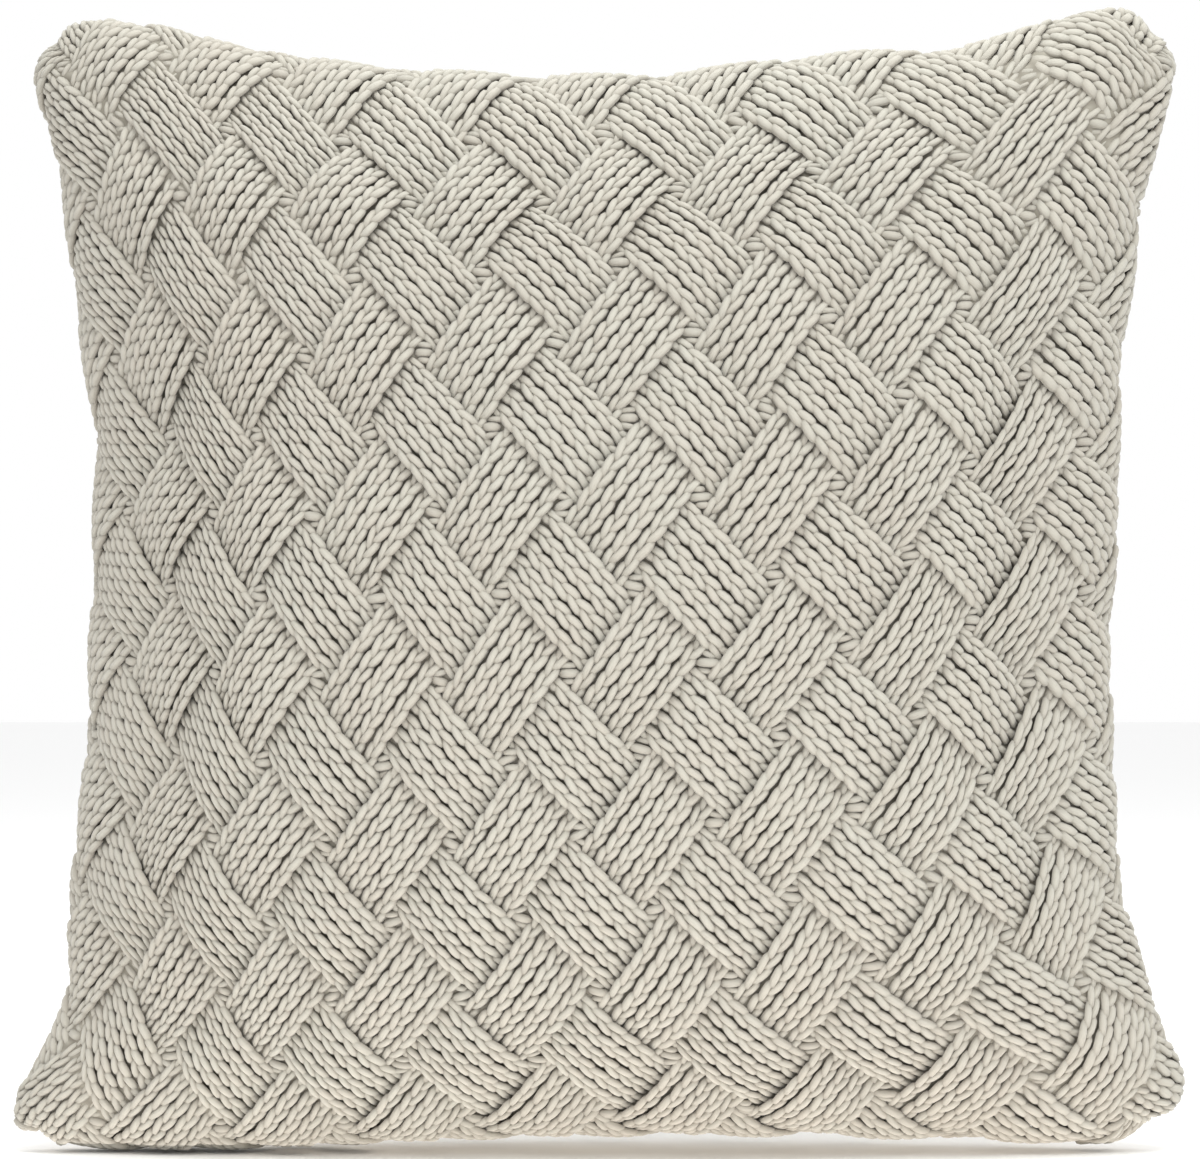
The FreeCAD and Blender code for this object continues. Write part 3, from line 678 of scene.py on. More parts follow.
def family_legs(side, family, seed, keep):
    """Points of all legs of a family on a side, with their lift and tone for the finish.

    A leg's middle is its block's centre plus its stitch along and its wale across; its height is the cable's
    rise, a cosine along the block, less the fall of the block's two long edges.
    """
    rng = np.random.default_rng(SEEDS[family] + seed)
    blocks = lattice_points(0.0, 0.0) if family == "rising" else lattice_points(0.5, 0.5)
    wales = np.arange(WALES) - (WALES - 1) / 2
    stitches = np.arange(STITCHES) - (STITCHES - 1) / 2
    wale, stitch, hand = (grid.ravel() for grid in np.meshgrid(wales, stitches, [-1.0, 1.0], indexing="ij"))
    centre = np.repeat(blocks, len(wale), axis=0)
    wale, stitch, hand = (np.tile(v, len(blocks)) for v in (wale, stitch, hand))
    count = len(wale)
    along_middle = (stitch + hand * STAGGER) * STITCH_PITCH + rng.normal(0, 0.22, count)
    across_middle = wale * WALE_PITCH + rng.normal(0, 0.10, count)
    lean = LEAN[family] + rng.normal(0, 0.035, count)
    size = 1 + rng.normal(0, 0.04, count)
    tone = rng.uniform(0, 1, count)
    x = leg_along[None] * LEG_LENGTH / 2 * size[:, None]
    bow = 0.5 * (1 - leg_along[None] ** 2)
    y = hand[:, None] * (LEG_OFFSET + x * np.tan(lean)[:, None] + bow - 0.25)
    y = y + leg_across[None] * LEG_RADIUS * size[:, None]
    z = np.repeat(leg_heights(LEG_SINK)[None], count, axis=0)
    along = along_middle[:, None] + x
    across = across_middle[:, None] + y
    half_width = WALES * WALE_PITCH / 2
    rise = CABLE_RISE * np.cos(np.pi * along / CROSSING) - EDGE_FALL * np.abs(across / half_width) ** 4
    unit, other = STEPS[family]
    square = np.array([-unit[1], unit[0]])
    px = centre[:, :1] + along * unit[0] + across_middle[:, None] * other[0] + y * square[0]
    py = centre[:, 1:] + along * unit[1] + across_middle[:, None] * other[1] + y * square[1]
    points, made, t_mid = on_cloth(side, px, py, KNIT_LEVEL + z, rise, keep)
    lift = np.repeat(((leg_heights(LEG_SINK) + LEG_RADIUS) / (2 * LEG_RADIUS))[None], made.sum(), axis=0)
    return points, lift, tone[made], t_mid


# %% [markdown]
# Where four blocks meet, a small square stays open. On the real cover a few floats of yarn cross it. They
# could be left out, but then the ground shows as a hole, so three low legs lie across each.

# %% Bridge the corners between blocks
BRIDGES = 3
BRIDGE_LENGTH = 10.5
BRIDGE_PITCH = 3.2
BRIDGE_SHORT = 0.8
BRIDGE_PROUD = 0.9
BRIDGE_LEVEL = -6.0
BRIDGE_SINK = 1.6


def bridge_legs(side, seed, keep):
    """Points of three legs across each corner, one above another, with their lift and tone.

    The middle one stands proud, and the outer two are short and lie lower, each turned a little its own way.
    """
    rng = np.random.default_rng(seed)
    corners = np.concatenate([lattice_points(0.5, 0.0), lattice_points(0.0, 0.5)])
    centre = np.repeat(corners, BRIDGES, axis=0)
    row = np.tile(np.arange(BRIDGES) - (BRIDGES - 1) / 2, len(corners))
    count = len(row)
    proud = (row == 0)[:, None]
    turn = rng.normal(-0.08, 0.24, count)[:, None]
    tone = rng.uniform(0, 1, count)
    size = (BRIDGE_SHORT + (1 - BRIDGE_SHORT) * proud) * (1 + rng.normal(0, 0.08, count)[:, None])
    x = leg_along[None] * size * BRIDGE_LENGTH / 2
    y = leg_across[None] * LEG_RADIUS * np.where(proud, 1.05, 0.8)
    px = centre[:, :1] + rng.normal(0, 0.7, count)[:, None] + x * np.cos(turn) - y * np.sin(turn)
    py = centre[:, 1:] + row[:, None] * BRIDGE_PITCH + x * np.sin(turn) + y * np.cos(turn)
    level = BRIDGE_LEVEL + BRIDGE_PROUD * proud + rng.normal(0, 0.4, count)[:, None]
    points, made, _ = on_cloth(side, px, py, level + leg_heights(BRIDGE_SINK)[None], np.zeros_like(px), keep)
    share = (leg_heights(BRIDGE_SINK) + LEG_RADIUS) / (2 * LEG_RADIUS)
    # Bridges lie low, so their lift is cut to 0.8, which gives them more painted shade in the yarn finish.
    lift = np.repeat(share[None] * 0.8, made.sum(), axis=0)
    return points, lift, tone[made]


# %% [markdown]
# Now both sides are knitted. The front's stitches run a little way round the rim, as the real front panel
# does before it meets the seam; the back's stop short of them and leave the zip's slot open. Each family is
# parted into an upper and a lower piece, so that no mesh gets too heavy.

# %% Knit both sides
FRONT_OVERLAP = 6.0
BACK_SHORT = 13.0
CORNER_SHORT = 10.0
EDGING_WIDTH = 9.6
SLOT_END_ROOM = 3.0
BACK_SEED = 100
BRIDGE_SEED = 7


def keep_front(s, t, middle):
    """Front legs run a little way round the rim."""
    edge = FLAT_HALF + FRONT_OVERLAP
    return (np.abs(s) < edge) & (np.abs(t) < edge) & (np.abs(s) + np.abs(t) < 2 * edge - CORNER_SHORT)


def keep_back(s, t, middle):
    """Back legs stop short of the front's, and leave the zip's slot free."""
    edge = FLAT_HALF - BACK_SHORT
    along, across, _ = zip_place(middle)
    in_slot = (np.abs(across) < EDGING_WIDTH) & (np.abs(along) < SLOT_HALF_LENGTH + SLOT_END_ROOM)
    return (np.abs(s) < edge) & (np.abs(t) < edge) & ~(in_slot & (middle[:, 1] > 0))


knit_pieces = {"front": [], "back": []}
both_sides = (("front", front_side, keep_front), ("back", back_side, keep_back))
for seed, (side_name, side, keep) in enumerate(both_sides):
    for family in ("falling", "rising"):
        points, lift, tone, t_mid = family_legs(side, family, BACK_SEED * seed, keep)
        for half, chosen in (("lower", t_mid < 0), ("upper", t_mid >= 0)):
            name = f"{side_name}_{family}_cables_{half}"
            knit_pieces[side_name].append(legs_piece(name, points[chosen], lift[chosen], tone[chosen]))
    bridges = bridge_legs(side, BRIDGE_SEED + seed, keep)
    knit_pieces[side_name].append(legs_piece(f"{side_name}_bridges", *bridges))

# %% [markdown]
# ## The linked seam
# The two sides are linked together just behind the rim, with one row of chain stitches. The same row
# finishes both edges of the zip's slot. It could be a twisted cord, but a linked seam shows the same V's as
# the knit, so a row is the same legs, in leaning pairs along a line on the cloth.

# %% Rows of chain stitch
CHAIN_PITCH = 6.6


def chain_row(path, outward, rng):
    """Legs in leaning pairs along a path of points, with the path's outward directions.

    The path is read at even steps; each leg's frame is the path's direction, its outward direction and their
    cross product.
    """
    step = np.linalg.norm(np.diff(path, axis=0), axis=1)
    run = np.concatenate([[0], np.cumsum(step)])
    stitches = int(run[-1] / CHAIN_PITCH)
    count = 2 * stitches
    hand = np.tile([-1.0, 1.0], stitches)
    middle = (np.repeat(np.arange(stitches), 2) + 0.5 + hand * 0.2) * run[-1] / stitches
    x = leg_along[None] * LEG_LENGTH * 0.46 * (1 + rng.normal(0, 0.04, count))[:, None]
    place = middle[:, None] + x
    y = hand[:, None] * (1.25 + x * 0.16) + leg_across[None] * LEG_RADIUS * 0.82
    z = leg_heights(1.2)[None] * 0.82 + rng.normal(0, 0.12, count)[:, None]
    base = np.stack([np.interp(place, run, path[:, axis]) for axis in range(3)], axis=-1)
    out = np.stack([np.interp(place, run, outward[:, axis]) for axis in range(3)], axis=-1)
    ahead = np.stack([np.interp(place + 2, run, path[:, axis]) for axis in range(3)], axis=-1)
    before = np.stack([np.interp(place - 2, run, path[:, axis]) for axis in range(3)], axis=-1)
    forward = ahead - before
    forward /= np.maximum(np.linalg.norm(forward, axis=-1, keepdims=True), 1e-9)
    sideways = np.cross(out, forward)
    points = base + sideways * y[..., None] + out * z[..., None]
    lift = np.repeat(((leg_heights(1.2) + LEG_RADIUS) / (2 * LEG_RADIUS))[None], count, axis=0)
    return points, lift, rng.uniform(0, 1, count)


SEAM_INSET = 9.0
SEAM_LEVEL = -1.8
EDGING_ACROSS = 7.9
EDGING_DEPTH = -2.4
POINTS_PER_SIDE = 240
line = np.linspace(-1, 1, POINTS_PER_SIDE)[:-1]
around_s = np.concatenate([line, np.ones_like(line), -line, -np.ones_like(line)]) * (FLAT_HALF - SEAM_INSET)
around_t = np.concatenate([-np.ones_like(line), line, np.ones_like(line), -line]) * (FLAT_HALF - SEAM_INSET)
around_s, around_t = np.append(around_s, around_s[0]), np.append(around_t, around_t[0])
seam_path, seam_out = back_side.read(around_s, around_t)
linked_seam = legs_piece("linked_seam", *chain_row(seam_path + seam_out * SEAM_LEVEL, seam_out,
                                                   np.random.default_rng(5)))

along_slot = np.linspace(-SLOT_HALF_LENGTH - 1, SLOT_HALF_LENGTH + 1, 160)
slot_edges = []
for name, across in (("slot_edge_upper", EDGING_ACROSS), ("slot_edge_lower", -EDGING_ACROSS)):
    depth = np.full_like(along_slot, EDGING_DEPTH)
    path, out = zip_point(along_slot, np.full_like(along_slot, across), depth)
    slot_edges.append(legs_piece(name, *chain_row(path, out, np.random.default_rng(17))))

# %% [markdown]
# ## The ground, the insert and the filling
# Under the cables lies the plain purl side of the knit, a soft closed form. Inside it is the insert: a plain
# cotton case with a sewn rim, full of fibre. Each could have a cloth simulation of its own, but they press
# on one another, so all are the same plump bag, drawn in further and further, and all give way behind the
# zip.

# %% Closed soft forms
GROUND_INSET = 7.6
CASE_INSET = 9.6
FILLING_INSET = 10.9


def give_way(points, clearance):
    """Points of the back moved inward until they are clear of the zip by a depth."""
    _, _, above = zip_place(points)
    pushed = np.minimum(0, -clearance - above) * near_zip(points, 16.0, 34.0)
    return points + arc_outward(points) * pushed[..., None]


def soft_form(name, inset, clearance, step, lumps, rim_fill=0.0):
    """A closed bag drawn in by inset, less rim_fill at the rim, clear of the zip and with slow lumps."""
    few = (slice(None, None, step), slice(None, None, step))
    plain = filled_points(even_p, even_q, inset)
    at_rim = 1 - smooth_step(-formula_front[..., 1] / HALF_DEPTH, 0.02, 0.4)
    bump = (dents(plain * 1.7, lumps) + rim_fill * at_rim)[..., None]
    front = settle(plain + front_shift + front_normals * bump, inset)[few]
    back = settle(plain * MIRROR + back_shift + back_normals * bump, inset) + zip_shift
    back = give_way(back, clearance)[few]
    points, faces, _ = bag_mesh(front, back)
    piece = make_piece(name, points, [faces])
    print(name, len(faces), "faces")
    return piece


ground = soft_form("cover_ground", GROUND_INSET, 10.0, 1, 0.0, 2.4)
insert_case = soft_form("insert_case", CASE_INSET, 12.4, 2, 0.4)
filling = soft_form("fibre_filling", FILLING_INSET, 14.2, 2, 0.8)

# %% [markdown]
# The insert's case is two squares of cotton sewn together, and its turned seam makes a thin roll round the
# rim. A round tube along the case's own outline is enough for it.

# %% The insert's sewn rim
RIM_RADIUS = 0.9
RIM_SIDES = 8
edge = filled_points(even_p, even_q, CASE_INSET) + front_shift
rim_points = np.concatenate([edge[:-1, 0], edge[-1, :-1], edge[:0:-1, -1], edge[0, :0:-1]])
rim_points = settle(rim_points, CASE_INSET)


def ring_tube(name, path, radius, sides):
    """A round tube along a closed path: rings of points square to the path's direction."""
    ahead = np.roll(path, -1, axis=0) - np.roll(path, 1, axis=0)
    ahead /= np.linalg.norm(ahead, axis=1, keepdims=True)
    across = np.cross(ahead, [0.0, 1.0, 0.0])
    across /= np.linalg.norm(across, axis=1, keepdims=True)
    other = np.cross(across, ahead)
    angle = 2 * np.pi * np.arange(sides) / sides
    ring = np.cos(angle)[:, None] * across[:, None] + np.sin(angle)[:, None] * other[:, None]
    points = path[:, None] + ring * radius
    count = len(path)
    i, j = np.meshgrid(np.arange(count), np.arange(sides), indexing="ij")
    i2, j2 = (i + 1) % count, (j + 1) % sides
    quads = np.stack([i * sides + j, i2 * sides + j, i2 * sides + j2, i * sides + j2], axis=-1)
    print(name, count, "rings")
    return make_piece(name, points.reshape(-1, 3), [quads.reshape(-1, 4)])


insert_rim = ring_tube("insert_sewn_rim", rim_points, RIM_RADIUS, RIM_SIDES)

# %% [markdown]
# ## The zip's coils
# A nylon coil zip is two fine spirals. In the frame each is a plain strip of the right size, so here each is
# replaced by a true spiral of filament. Its oval is wider than it is high, as a coil is pressed to lie flat.

# %% Coil spirals
COIL_PITCH = 1.7
FILAMENT = 0.36
FILAMENT_SIDES = 5
COIL_MIDDLE = 1.75
COIL_HALF_WIDTH = 1.25
COIL_HALF_HEIGHT = 1.1
COIL_DEPTH = -5.45
POINTS_PER_TURN = 12
coil_half = float(zip_place(np.array([coil_high[0], coil_low[1], coil_high[2]]))[0])


def coil_spiral(name, sign):
    """A spiral along the zip's arc: across and above go round an oval while along grows evenly."""
    turns = int(2 * coil_half / COIL_PITCH)
    count = turns * POINTS_PER_TURN
    turn = 2 * np.pi * np.arange(count) / POINTS_PER_TURN
    along = np.linspace(-coil_half + FILAMENT, coil_half - FILAMENT, count)
    across = sign * (COIL_MIDDLE - (COIL_HALF_WIDTH - FILAMENT) * np.cos(turn + (0 if sign > 0 else np.pi)))
    above = COIL_DEPTH + (COIL_HALF_HEIGHT - FILAMENT) * np.sin(turn)
    path, outward = zip_point(along, across, above)
    ahead = np.gradient(path, axis=0)
    ahead /= np.linalg.norm(ahead, axis=1, keepdims=True)
    first = np.cross(ahead, outward)
    first /= np.linalg.norm(first, axis=1, keepdims=True)
    second = np.cross(ahead, first)
    sides = FILAMENT_SIDES
    angle = 2 * np.pi * np.arange(sides) / sides
    ring = np.cos(angle)[:, None] * first[:, None] + np.sin(angle)[:, None] * second[:, None]
    points = (path[:, None] + ring * FILAMENT).reshape(-1, 3)
    i, j = np.meshgrid(np.arange(count - 1) * sides, np.arange(sides), indexing="ij")
    after = (j + 1) % sides
    quads = np.stack([i + j, i + after, i + sides + after, i + sides + j], axis=-1).reshape(-1, 4)
    caps = np.stack([np.arange(sides)[::-1], (count - 1) * sides + np.arange(sides)])
    print(name, turns, "turns")
    return make_piece(name, points, [quads, caps])


coils = [coil_spiral("coil_spiral_upper", 1), coil_spiral("coil_spiral_lower", -1)]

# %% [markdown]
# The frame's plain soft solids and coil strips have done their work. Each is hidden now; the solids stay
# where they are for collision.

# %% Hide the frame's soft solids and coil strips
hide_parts("front_panel")
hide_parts("back_panel_lower")
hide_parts("back_panel_upper")
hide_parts("cover_seam")
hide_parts("insert_front", "insert_back")
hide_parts("insert_seam")
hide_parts("filling")
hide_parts("zip_coil_upper")
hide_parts("zip_coil_lower")

# %% [markdown]
# ## Finishes
# Shader arithmetic reads badly as nodes, so a small class wraps a socket and lets us write it as sums. Any
# other node comes from one method that sets its options first and then its sockets.

# %% Shader helpers


class Value:
    """A socket that can be added, taken away and multiplied, each of which adds a Math node."""

    def __init__(self, tree, socket):
        self.tree, self.socket = tree, socket

    def _math(self, operation, first, second):
        node = self.tree.node("ShaderNodeMath", {"operation": operation}, {0: first, 1: second})
        return Value(self.tree, node.outputs[0])

    def __add__(self, other):
        return self._math("ADD", self, other)

    __radd__ = __add__

    def __sub__(self, other):
        return self._math("SUBTRACT", self, other)

    def __rsub__(self, other):
        return self._math("SUBTRACT", other, self)

    def __mul__(self, other):
        return self._math("MULTIPLY", self, other)

    __rmul__ = __mul__

    def clamped(self):
        node = self.tree.node("ShaderNodeClamp", {}, {0: self})
        return Value(self.tree, node.outputs[0])


class Finish:
    """A material whose node tree is written in code."""

    def __init__(self, name, **shader):
        self.material = bpy.data.materials.new(name)
        self.material.use_nodes = True
        self.nodes = self.material.node_tree.nodes
        self.links = self.material.node_tree.links
        self.shader = self.nodes["Principled BSDF"]
        for socket, number in shader.items():
            self.shader.inputs[socket.replace("_", " ")].default_value = number

    def node(self, kind, settings, sockets):
        """Any node: its type, its settings, and the values or links of its sockets."""
        node = self.nodes.new(kind)
        for name, setting in settings.items():
            setattr(node, name, setting)
        for key, given in sockets.items():
            self.feed(node.inputs[key], given)
        return node

    def feed(self, socket, given):
        """Put a value or a link into a socket."""
        if isinstance(given, Value):
            self.links.new(given.socket, socket)
        elif hasattr(given, "links"):
            self.links.new(given, socket)
        else:
            socket.default_value = given

    def set(self, name, given):
        self.feed(self.shader.inputs[name], given)

    def attribute(self, name):
        node = self.node("ShaderNodeAttribute", {"attribute_name": name}, {})
        return Value(self, node.outputs["Fac"])

    def place(self, uv=None):
        """Object coordinates, or a named UV map."""
        if uv:
            return self.node("ShaderNodeUVMap", {"uv_map": uv}, {}).outputs["UV"]
        return self.node("ShaderNodeTexCoord", {}, {}).outputs["Object"]

    def scaled(self, vector, scale):
        return self.node("ShaderNodeMapping", {}, {"Vector": vector, "Scale": scale}).outputs["Vector"]

    def noise(self, vector, scale, detail=2.0, roughness=0.5):
        node = self.node("ShaderNodeTexNoise", {}, {"Vector": vector, "Scale": scale, "Detail": detail,
                                                    "Roughness": roughness})
        return Value(self, node.outputs["Fac"])

    def mix(self, factor, first, second):
        """Colours mixed by a factor: a Mix node's colour sockets follow those for numbers and vectors."""
        node = self.node("ShaderNodeMix", {"data_type": "RGBA"}, {0: factor, 6: first, 7: second})
        return node.outputs[2]

    def bump(self, height, distance, strength):
        """Relief from a height, as deep as a distance in metres, fed to the shader's normal."""
        sockets = {"Height": height, "Distance": distance, "Strength": strength}
        self.set("Normal", self.node("ShaderNodeBump", {}, sockets).outputs["Normal"])


def linear(red, green, blue):
    """A colour as seen, from 0 to 255, as the light that makes it."""
    parts = [c / 255 for c in (red, green, blue)]
    return [c / 12.92 if c < 0.04045 else ((c + 0.055) / 1.055) ** 2.4 for c in parts] + [1.0]


# %% [markdown]
# The yarn is soft spun cotton. Its loose fibres run along the leg with a slow twist, its colour drifts a
# little from leg to leg and in broad clouds over the cover, and shade is painted in where it sinks between
# others.

# %% Yarn
YARN_LIGHT = linear(198, 195, 184)
YARN_WARM = linear(195, 188, 176)
YARN_STREAK_AND_SHADE = linear(90, 80, 69)


def yarn_finish(name, painted_shade_strength):
    """Spun cotton: darker streaks along the ply, clouds of warmth, and painted shade by how deep a point of
    a leg lies.
    """
    finish = Finish(name, Roughness=0.92, Sheen_Weight=0.2, Sheen_Roughness=0.5, Specular_IOR_Level=0.25)
    ply = finish.place("Ply")
    fibres = finish.noise(finish.scaled(ply, (2.6, 24.0, 1.0)), 1.0, 3.0, 0.6)
    clouds = finish.noise(finish.place(), 9.0, 2.0)
    fuzz = finish.noise(finish.place(), 1100.0, 3.0, 0.7)
    tone = finish.attribute("tone")
    lift = finish.attribute("lift")
    warmth = (clouds * 1.1 - 0.2 + (tone - 0.5) * 0.4).clamped()
    body = finish.mix(warmth, YARN_LIGHT, YARN_WARM)
    # Darker fibre streaks in the yarn's own colour.
    shade = finish.mix((fibres - 0.35).clamped() * 0.4, body, YARN_STREAK_AND_SHADE)
    # Painted shade: the lower a point lies in its leg, the more its colour goes to the dark yarn colour.
    painted_shade_mix = ((1 - lift) * painted_shade_strength).clamped()
    finish.set("Base Color", finish.mix(painted_shade_mix, shade, YARN_STREAK_AND_SHADE))
    finish.set("Roughness", 0.84 + fibres * 0.14)
    finish.bump(fibres * 0.6 + fuzz * 0.4, 0.0007, 0.7)
    return finish.material


yarn = yarn_finish("cotton yarn", 0.66)
for piece in knit_pieces["front"] + knit_pieces["back"]:
    piece.data.materials.append(yarn)
for piece in [linked_seam] + slot_edges:
    piece.data.materials.append(yarn)

# %% [markdown]
# The ground shows only in small gaps: purl bumps, in rows, with shade painted into their colour. The case is
# plain-woven cotton and the filling loose fibre, and both can be seen when the cover comes off. Weave and
# bumps could be geometry, but at a tenth of a stitch's size relief in the finish does as well.

# %% Ground, case and filling


def purl_finish():
    """Rows of small bumps across the fabric, in the yarn's colour with painted shade, darkest between bumps.
    """
    finish = Finish("purl ground", Roughness=0.95, Specular_IOR_Level=0.2)
    bumps = finish.node("ShaderNodeTexVoronoi", {"feature": "SMOOTH_F1"},
                        {"Vector": finish.scaled(finish.place(), (150.0, 150.0, 260.0)), "Scale": 1.0})
    height = 1 - Value(finish, bumps.outputs["Distance"])
    # Painted shade: the whole ground is darker than the yarn, as it lies under the cables, and darker still
    # in the hollows between bumps.
    finish.set("Base Color", finish.mix(height.clamped(), linear(92, 85, 75), linear(172, 167, 155)))
    finish.bump(height, 0.0012, 0.8)
    return finish.material


def plain_weave(name, light, dark, threads, depth):
    """Over and under threads: two sets of sine ridges whose heights take turns."""
    finish = Finish(name, Roughness=0.9, Specular_IOR_Level=0.25)
    where = finish.place()
    ridges = []
    for direction in ("X", "Z"):
        wave = finish.node("ShaderNodeTexWave", {"wave_type": "BANDS", "bands_direction": direction},
                           {"Vector": where, "Scale": threads, "Distortion": 0.6, "Detail": 1.0})
        ridges.append(Value(finish, wave.outputs["Fac"]))
    slub = finish.noise(where, 60.0, 3.0)
    cloth = ridges[0] * 0.5 + ridges[1] * 0.5
    # Painted shade darkens the grooves between the thread ridges; the slubs vary the cotton's own tone.
    finish.set("Base Color", finish.mix((cloth * 0.7 + slub * 0.4).clamped(), dark, light))
    finish.set("Roughness", 0.82 + slub * 0.15)
    finish.bump(cloth, depth, 0.5)
    return finish.material


def fibre_finish():
    """Matted polyester fibre: stretched fine noise over soft clumps."""
    finish = Finish("fibre filling", Roughness=0.8, Sheen_Weight=0.3)
    strands = finish.noise(finish.scaled(finish.place(), (300.0, 900.0, 420.0)), 1.0, 4.0, 0.7)
    clumps = finish.noise(finish.place(), 34.0, 3.0)
    height = strands * 0.4 + clumps * 0.6
    # Painted shade: the colour follows the relief, greyer in the hollows between clumps and strands.
    finish.set("Base Color", finish.mix(height.clamped(), linear(206, 206, 204), linear(246, 246, 243)))
    finish.set("Roughness", 0.7 + strands * 0.25)
    finish.bump(height, 0.003, 0.7)
    return finish.material


case_cotton = plain_weave("case cotton", linear(238, 236, 230), linear(205, 202, 194), 300.0, 0.0002)
soft_finishes = ((ground, purl_finish(), "knit"), (insert_case, case_cotton, "case_cotton"),
                 (insert_rim, case_cotton, "case_cotton"), (filling, fibre_finish(), "fibre_fill"))
for piece, material, slot in soft_finishes:
    piece.data.materials.append(material)

# %% [markdown]
# The zip is a plain one in the cover's own colours: ribbed tape, pale nylon coils, a slider and pull tab of
# zinc under satin enamel, and stops of pressed aluminium. The enamel could be one flat colour, but a real
# coat ripples and rubs, so two soft noises carry its tint, gloss and relief.

# %% Zip finishes


def enamel_finish(name, coat, rubbed_coat):
    """Baked enamel over zinc: a satin coat with fine ripples, paler and glossier where it is rubbed."""
    finish = Finish(name, Roughness=0.35, Specular_IOR_Level=0.55, Coat_Weight=0.25, Coat_Roughness=0.2)
    where = finish.place()
    ripples = finish.noise(where, 950.0, 2.0)
    rubbed = finish.noise(where, 240.0, 3.0, 0.55)
    finish.set("Base Color", finish.mix(rubbed, coat, rubbed_coat))
    finish.set("Roughness", 0.46 - rubbed * 0.2)
    finish.bump(ripples, 0.00005, 0.35)
    return finish.material


def pressed_finish(name, body, worn):
    """Pressed aluminium: fine drawing lines along the strip and a faint drift from dull to bright."""
    finish = Finish(name, Metallic=1.0, Roughness=0.35)
    where = finish.place()
    lines = finish.noise(finish.scaled(where, (900.0, 5200.0, 5200.0)), 1.0, 2.0)
    drift = finish.noise(where, 260.0, 3.0, 0.55)
    finish.set("Base Color", finish.mix(drift, body, worn))
    finish.set("Roughness", 0.28 + lines * 0.2)
    finish.bump(lines, 0.00006, 0.4)
    return finish.material


def nylon_finish():
    """Extruded filament: nearly even, with a slight drift of colour and gloss along its length."""
    finish = Finish("nylon coil", Roughness=0.38, Specular_IOR_Level=0.5)
    drift = finish.noise(finish.place(), 90.0, 3.0)
    finish.set("Base Color", finish.mix(drift, linear(196, 187, 168), linear(222, 214, 197)))
    finish.set("Roughness", 0.3 + drift * 0.2)
    finish.bump(finish.noise(finish.place(), 2600.0, 2.0), 0.00006, 0.4)
    return finish.material


def tape_finish():
    """Ribbed tape: fine ridges along it and finer picks across, with painted shade a little darker in
    between.
    """
    finish = Finish("tape weave", Roughness=0.85, Specular_IOR_Level=0.25)
    where = finish.place()
    ribs = finish.node("ShaderNodeTexWave", {"wave_type": "BANDS", "bands_direction": "Z"},
                       {"Vector": where, "Scale": 320.0, "Distortion": 0.3})
    picks = finish.node("ShaderNodeTexWave", {"wave_type": "BANDS", "bands_direction": "X"},
                        {"Vector": where, "Scale": 520.0, "Distortion": 0.3})
    height = Value(finish, ribs.outputs["Fac"]) * 0.65 + Value(finish, picks.outputs["Fac"]) * 0.35
    finish.set("Base Color", finish.mix(height.clamped(), linear(168, 157, 138), linear(212, 203, 185)))
    finish.bump(height, 0.0002, 0.7)
    return finish.material


def thread_finish():
    """Twisted sewing thread: slanted lines of painted shade in the grooves of its twist."""
    finish = Finish("sewing thread", Roughness=0.7, Specular_IOR_Level=0.35)
    twist = finish.node("ShaderNodeTexWave", {"wave_type": "BANDS", "bands_direction": "DIAGONAL"},
                        {"Vector": finish.place(), "Scale": 700.0, "Distortion": 0.4})
    height = Value(finish, twist.outputs["Fac"])
    finish.set("Base Color", finish.mix(height, linear(190, 182, 164), linear(228, 222, 208)))
    finish.bump(height, 0.0001, 0.6)
    return finish.material


def dress(node, material):
    """Give a node of the frame its material in every slot."""
    carried = frame["nodes"][node]
    if not carried.material_slots:
        carried.data.materials.append(material)
    for holder in carried.material_slots:
        holder.material = material


enamel = enamel_finish("slider enamel", linear(170, 162, 146), linear(196, 189, 173))
stop_metal = pressed_finish("stop metal", linear(176, 174, 170), linear(206, 204, 200))
nylon, tape, thread = nylon_finish(), tape_finish(), thread_finish()
for coil in coils:
    coil.data.materials.append(nylon)
for side in ("upper", "lower"):
    dress("zip_tape_" + side, tape)
    dress("zip_thread_" + side, thread)
    dress("zip_top_stop_" + side, stop_metal)
dress("zip_bottom_stop", stop_metal)
dress("zip_slider", enamel)
dress("zip_pull_tab", enamel)

# %% [markdown]
# ## Stage, light and camera
# The pillow stands on a plain pale floor in a bright white room. One broad lamp hangs above, in front and a
# little to the right, a faint warm one stands for light thrown up by the floor, and a third lights the back.
# A single hard lamp would draw the stitches more sharply, but knitwear is shown in soft light, whose shade
# gathers between the cables.

# %% Stage and lamps
FLOOR_HALF = 6.0
PALE = (0.93, 0.93, 0.93, 1.0)

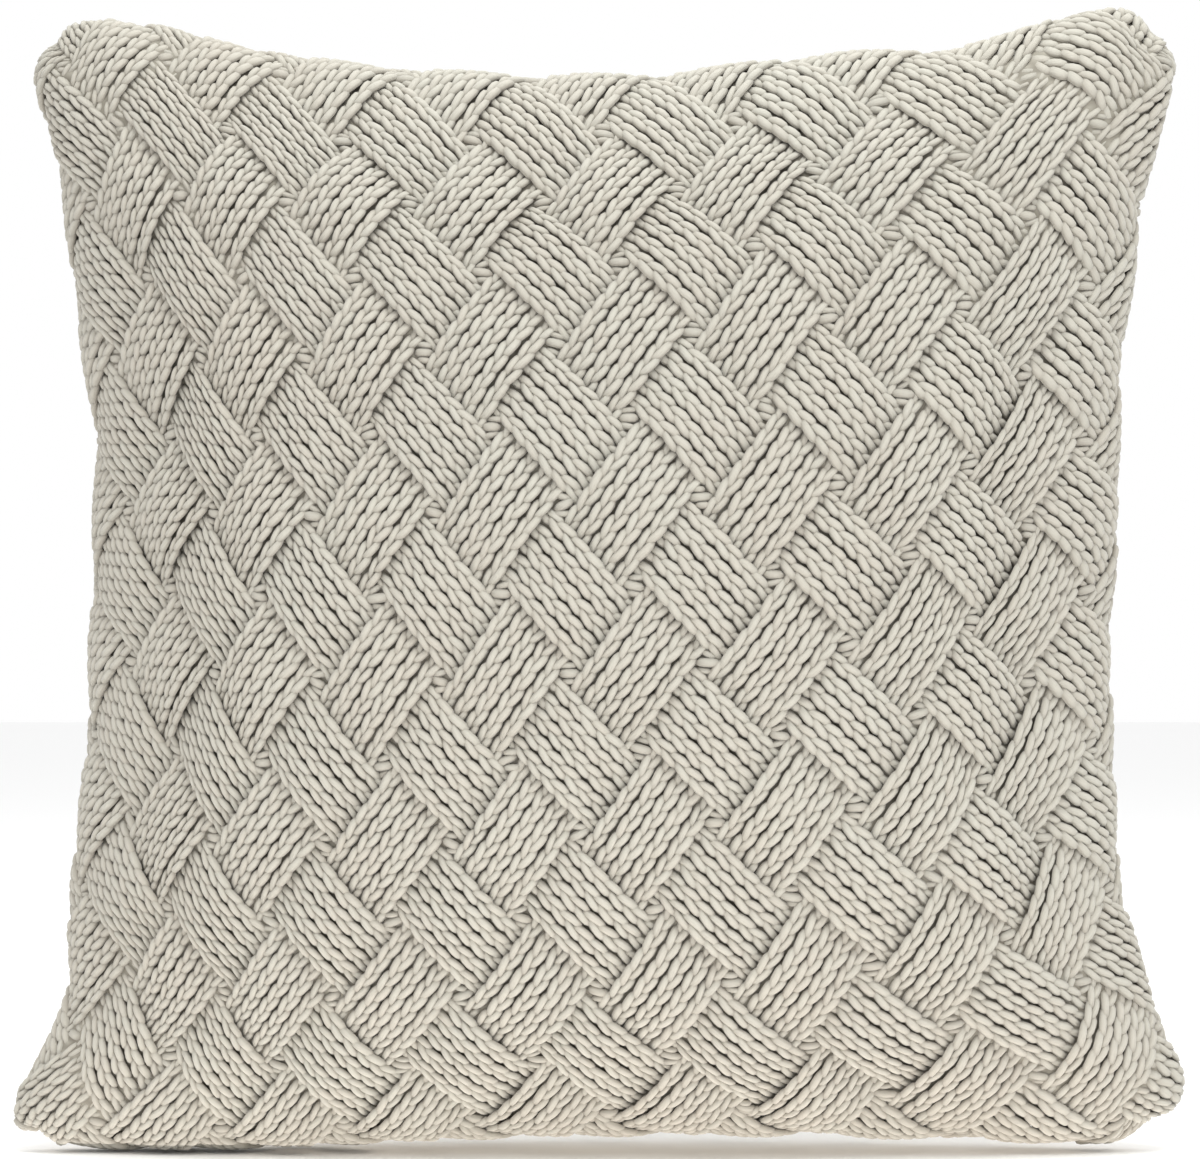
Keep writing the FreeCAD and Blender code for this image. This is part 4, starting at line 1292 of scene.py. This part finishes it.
floor_mesh = bpy.data.meshes.new("floor")
corners = [(-FLOOR_HALF, -FLOOR_HALF, 0), (FLOOR_HALF, -FLOOR_HALF, 0),
           (FLOOR_HALF, FLOOR_HALF, 0), (-FLOOR_HALF, FLOOR_HALF, 0)]
floor_mesh.from_pydata(corners, [], [(0, 1, 2, 3)])
floor = bpy.data.objects.new("floor", floor_mesh)
bpy.context.scene.collection.objects.link(floor)
floor_mesh.materials.append(Finish("pale floor", Base_Color=PALE, Roughness=0.9).material)


def soft_light(name, place, target, size, power, colour):
    """A square lamp of a given size in metres at a place, turned to a target."""
    data = bpy.data.lights.new(name, "AREA")
    data.size, data.energy, data.color = size, power, colour
    lamp = bpy.data.objects.new(name, data)
    bpy.context.scene.collection.objects.link(lamp)
    lamp.location = place
    direction = np.array(target) - np.array(place)
    flat = math.hypot(direction[0], direction[1])
    turn = math.atan2(direction[1], direction[0]) - math.pi / 2
    lamp.rotation_euler = (math.atan2(flat, -direction[2]), 0, turn)
    return lamp


soft_light("overhead", (0.25, -0.7, 1.7), (0, 0, 0.25), 0.9, 18.0, (0.96, 1.0, 0.99))
glow = soft_light("floor_glow", (0.0, -0.5, 0.004), (0.0, -0.5, 1.0), 1.1, 1.5, (1.0, 0.93, 0.88))
glow.data.shape, glow.data.size_y = "RECTANGLE", 0.5
glow.visible_camera = False
soft_light("rear", (0.0, 0.9, 2.0), (0, 0, 0.25), 1.0, 11.0, (1.0, 1.0, 0.98))
world = bpy.data.worlds.new("studio")
world.use_nodes = True
world.node_tree.nodes["Background"].inputs["Color"].default_value = (1.0, 1.0, 1.0, 1.0)
world.node_tree.nodes["Background"].inputs["Strength"].default_value = 1.0
bpy.context.scene.world = world
bpy.context.scene.view_settings.view_transform = "Standard"

# %% [markdown]
# The camera looks level at the pillow's middle from two metres, so its sides stay parallel. The lens follows
# from the width that should fill the frame at that distance.

# %% Camera
CAMERA_DISTANCE = 2000.0
VIEW_WIDTH = 512.0
VIEW_CENTRE_HEIGHT = 243.8

camera_data = bpy.data.cameras.new("camera")
camera_data.sensor_width = 36.0
camera_data.lens = camera_data.sensor_width * CAMERA_DISTANCE / VIEW_WIDTH
camera = bpy.data.objects.new("camera", camera_data)
bpy.context.scene.collection.objects.link(camera)
camera.location = (0.0, -CAMERA_DISTANCE * MM, VIEW_CENTRE_HEIGHT * MM)
camera.rotation_euler = (math.pi / 2, 0, 0)
bpy.context.scene.camera = camera
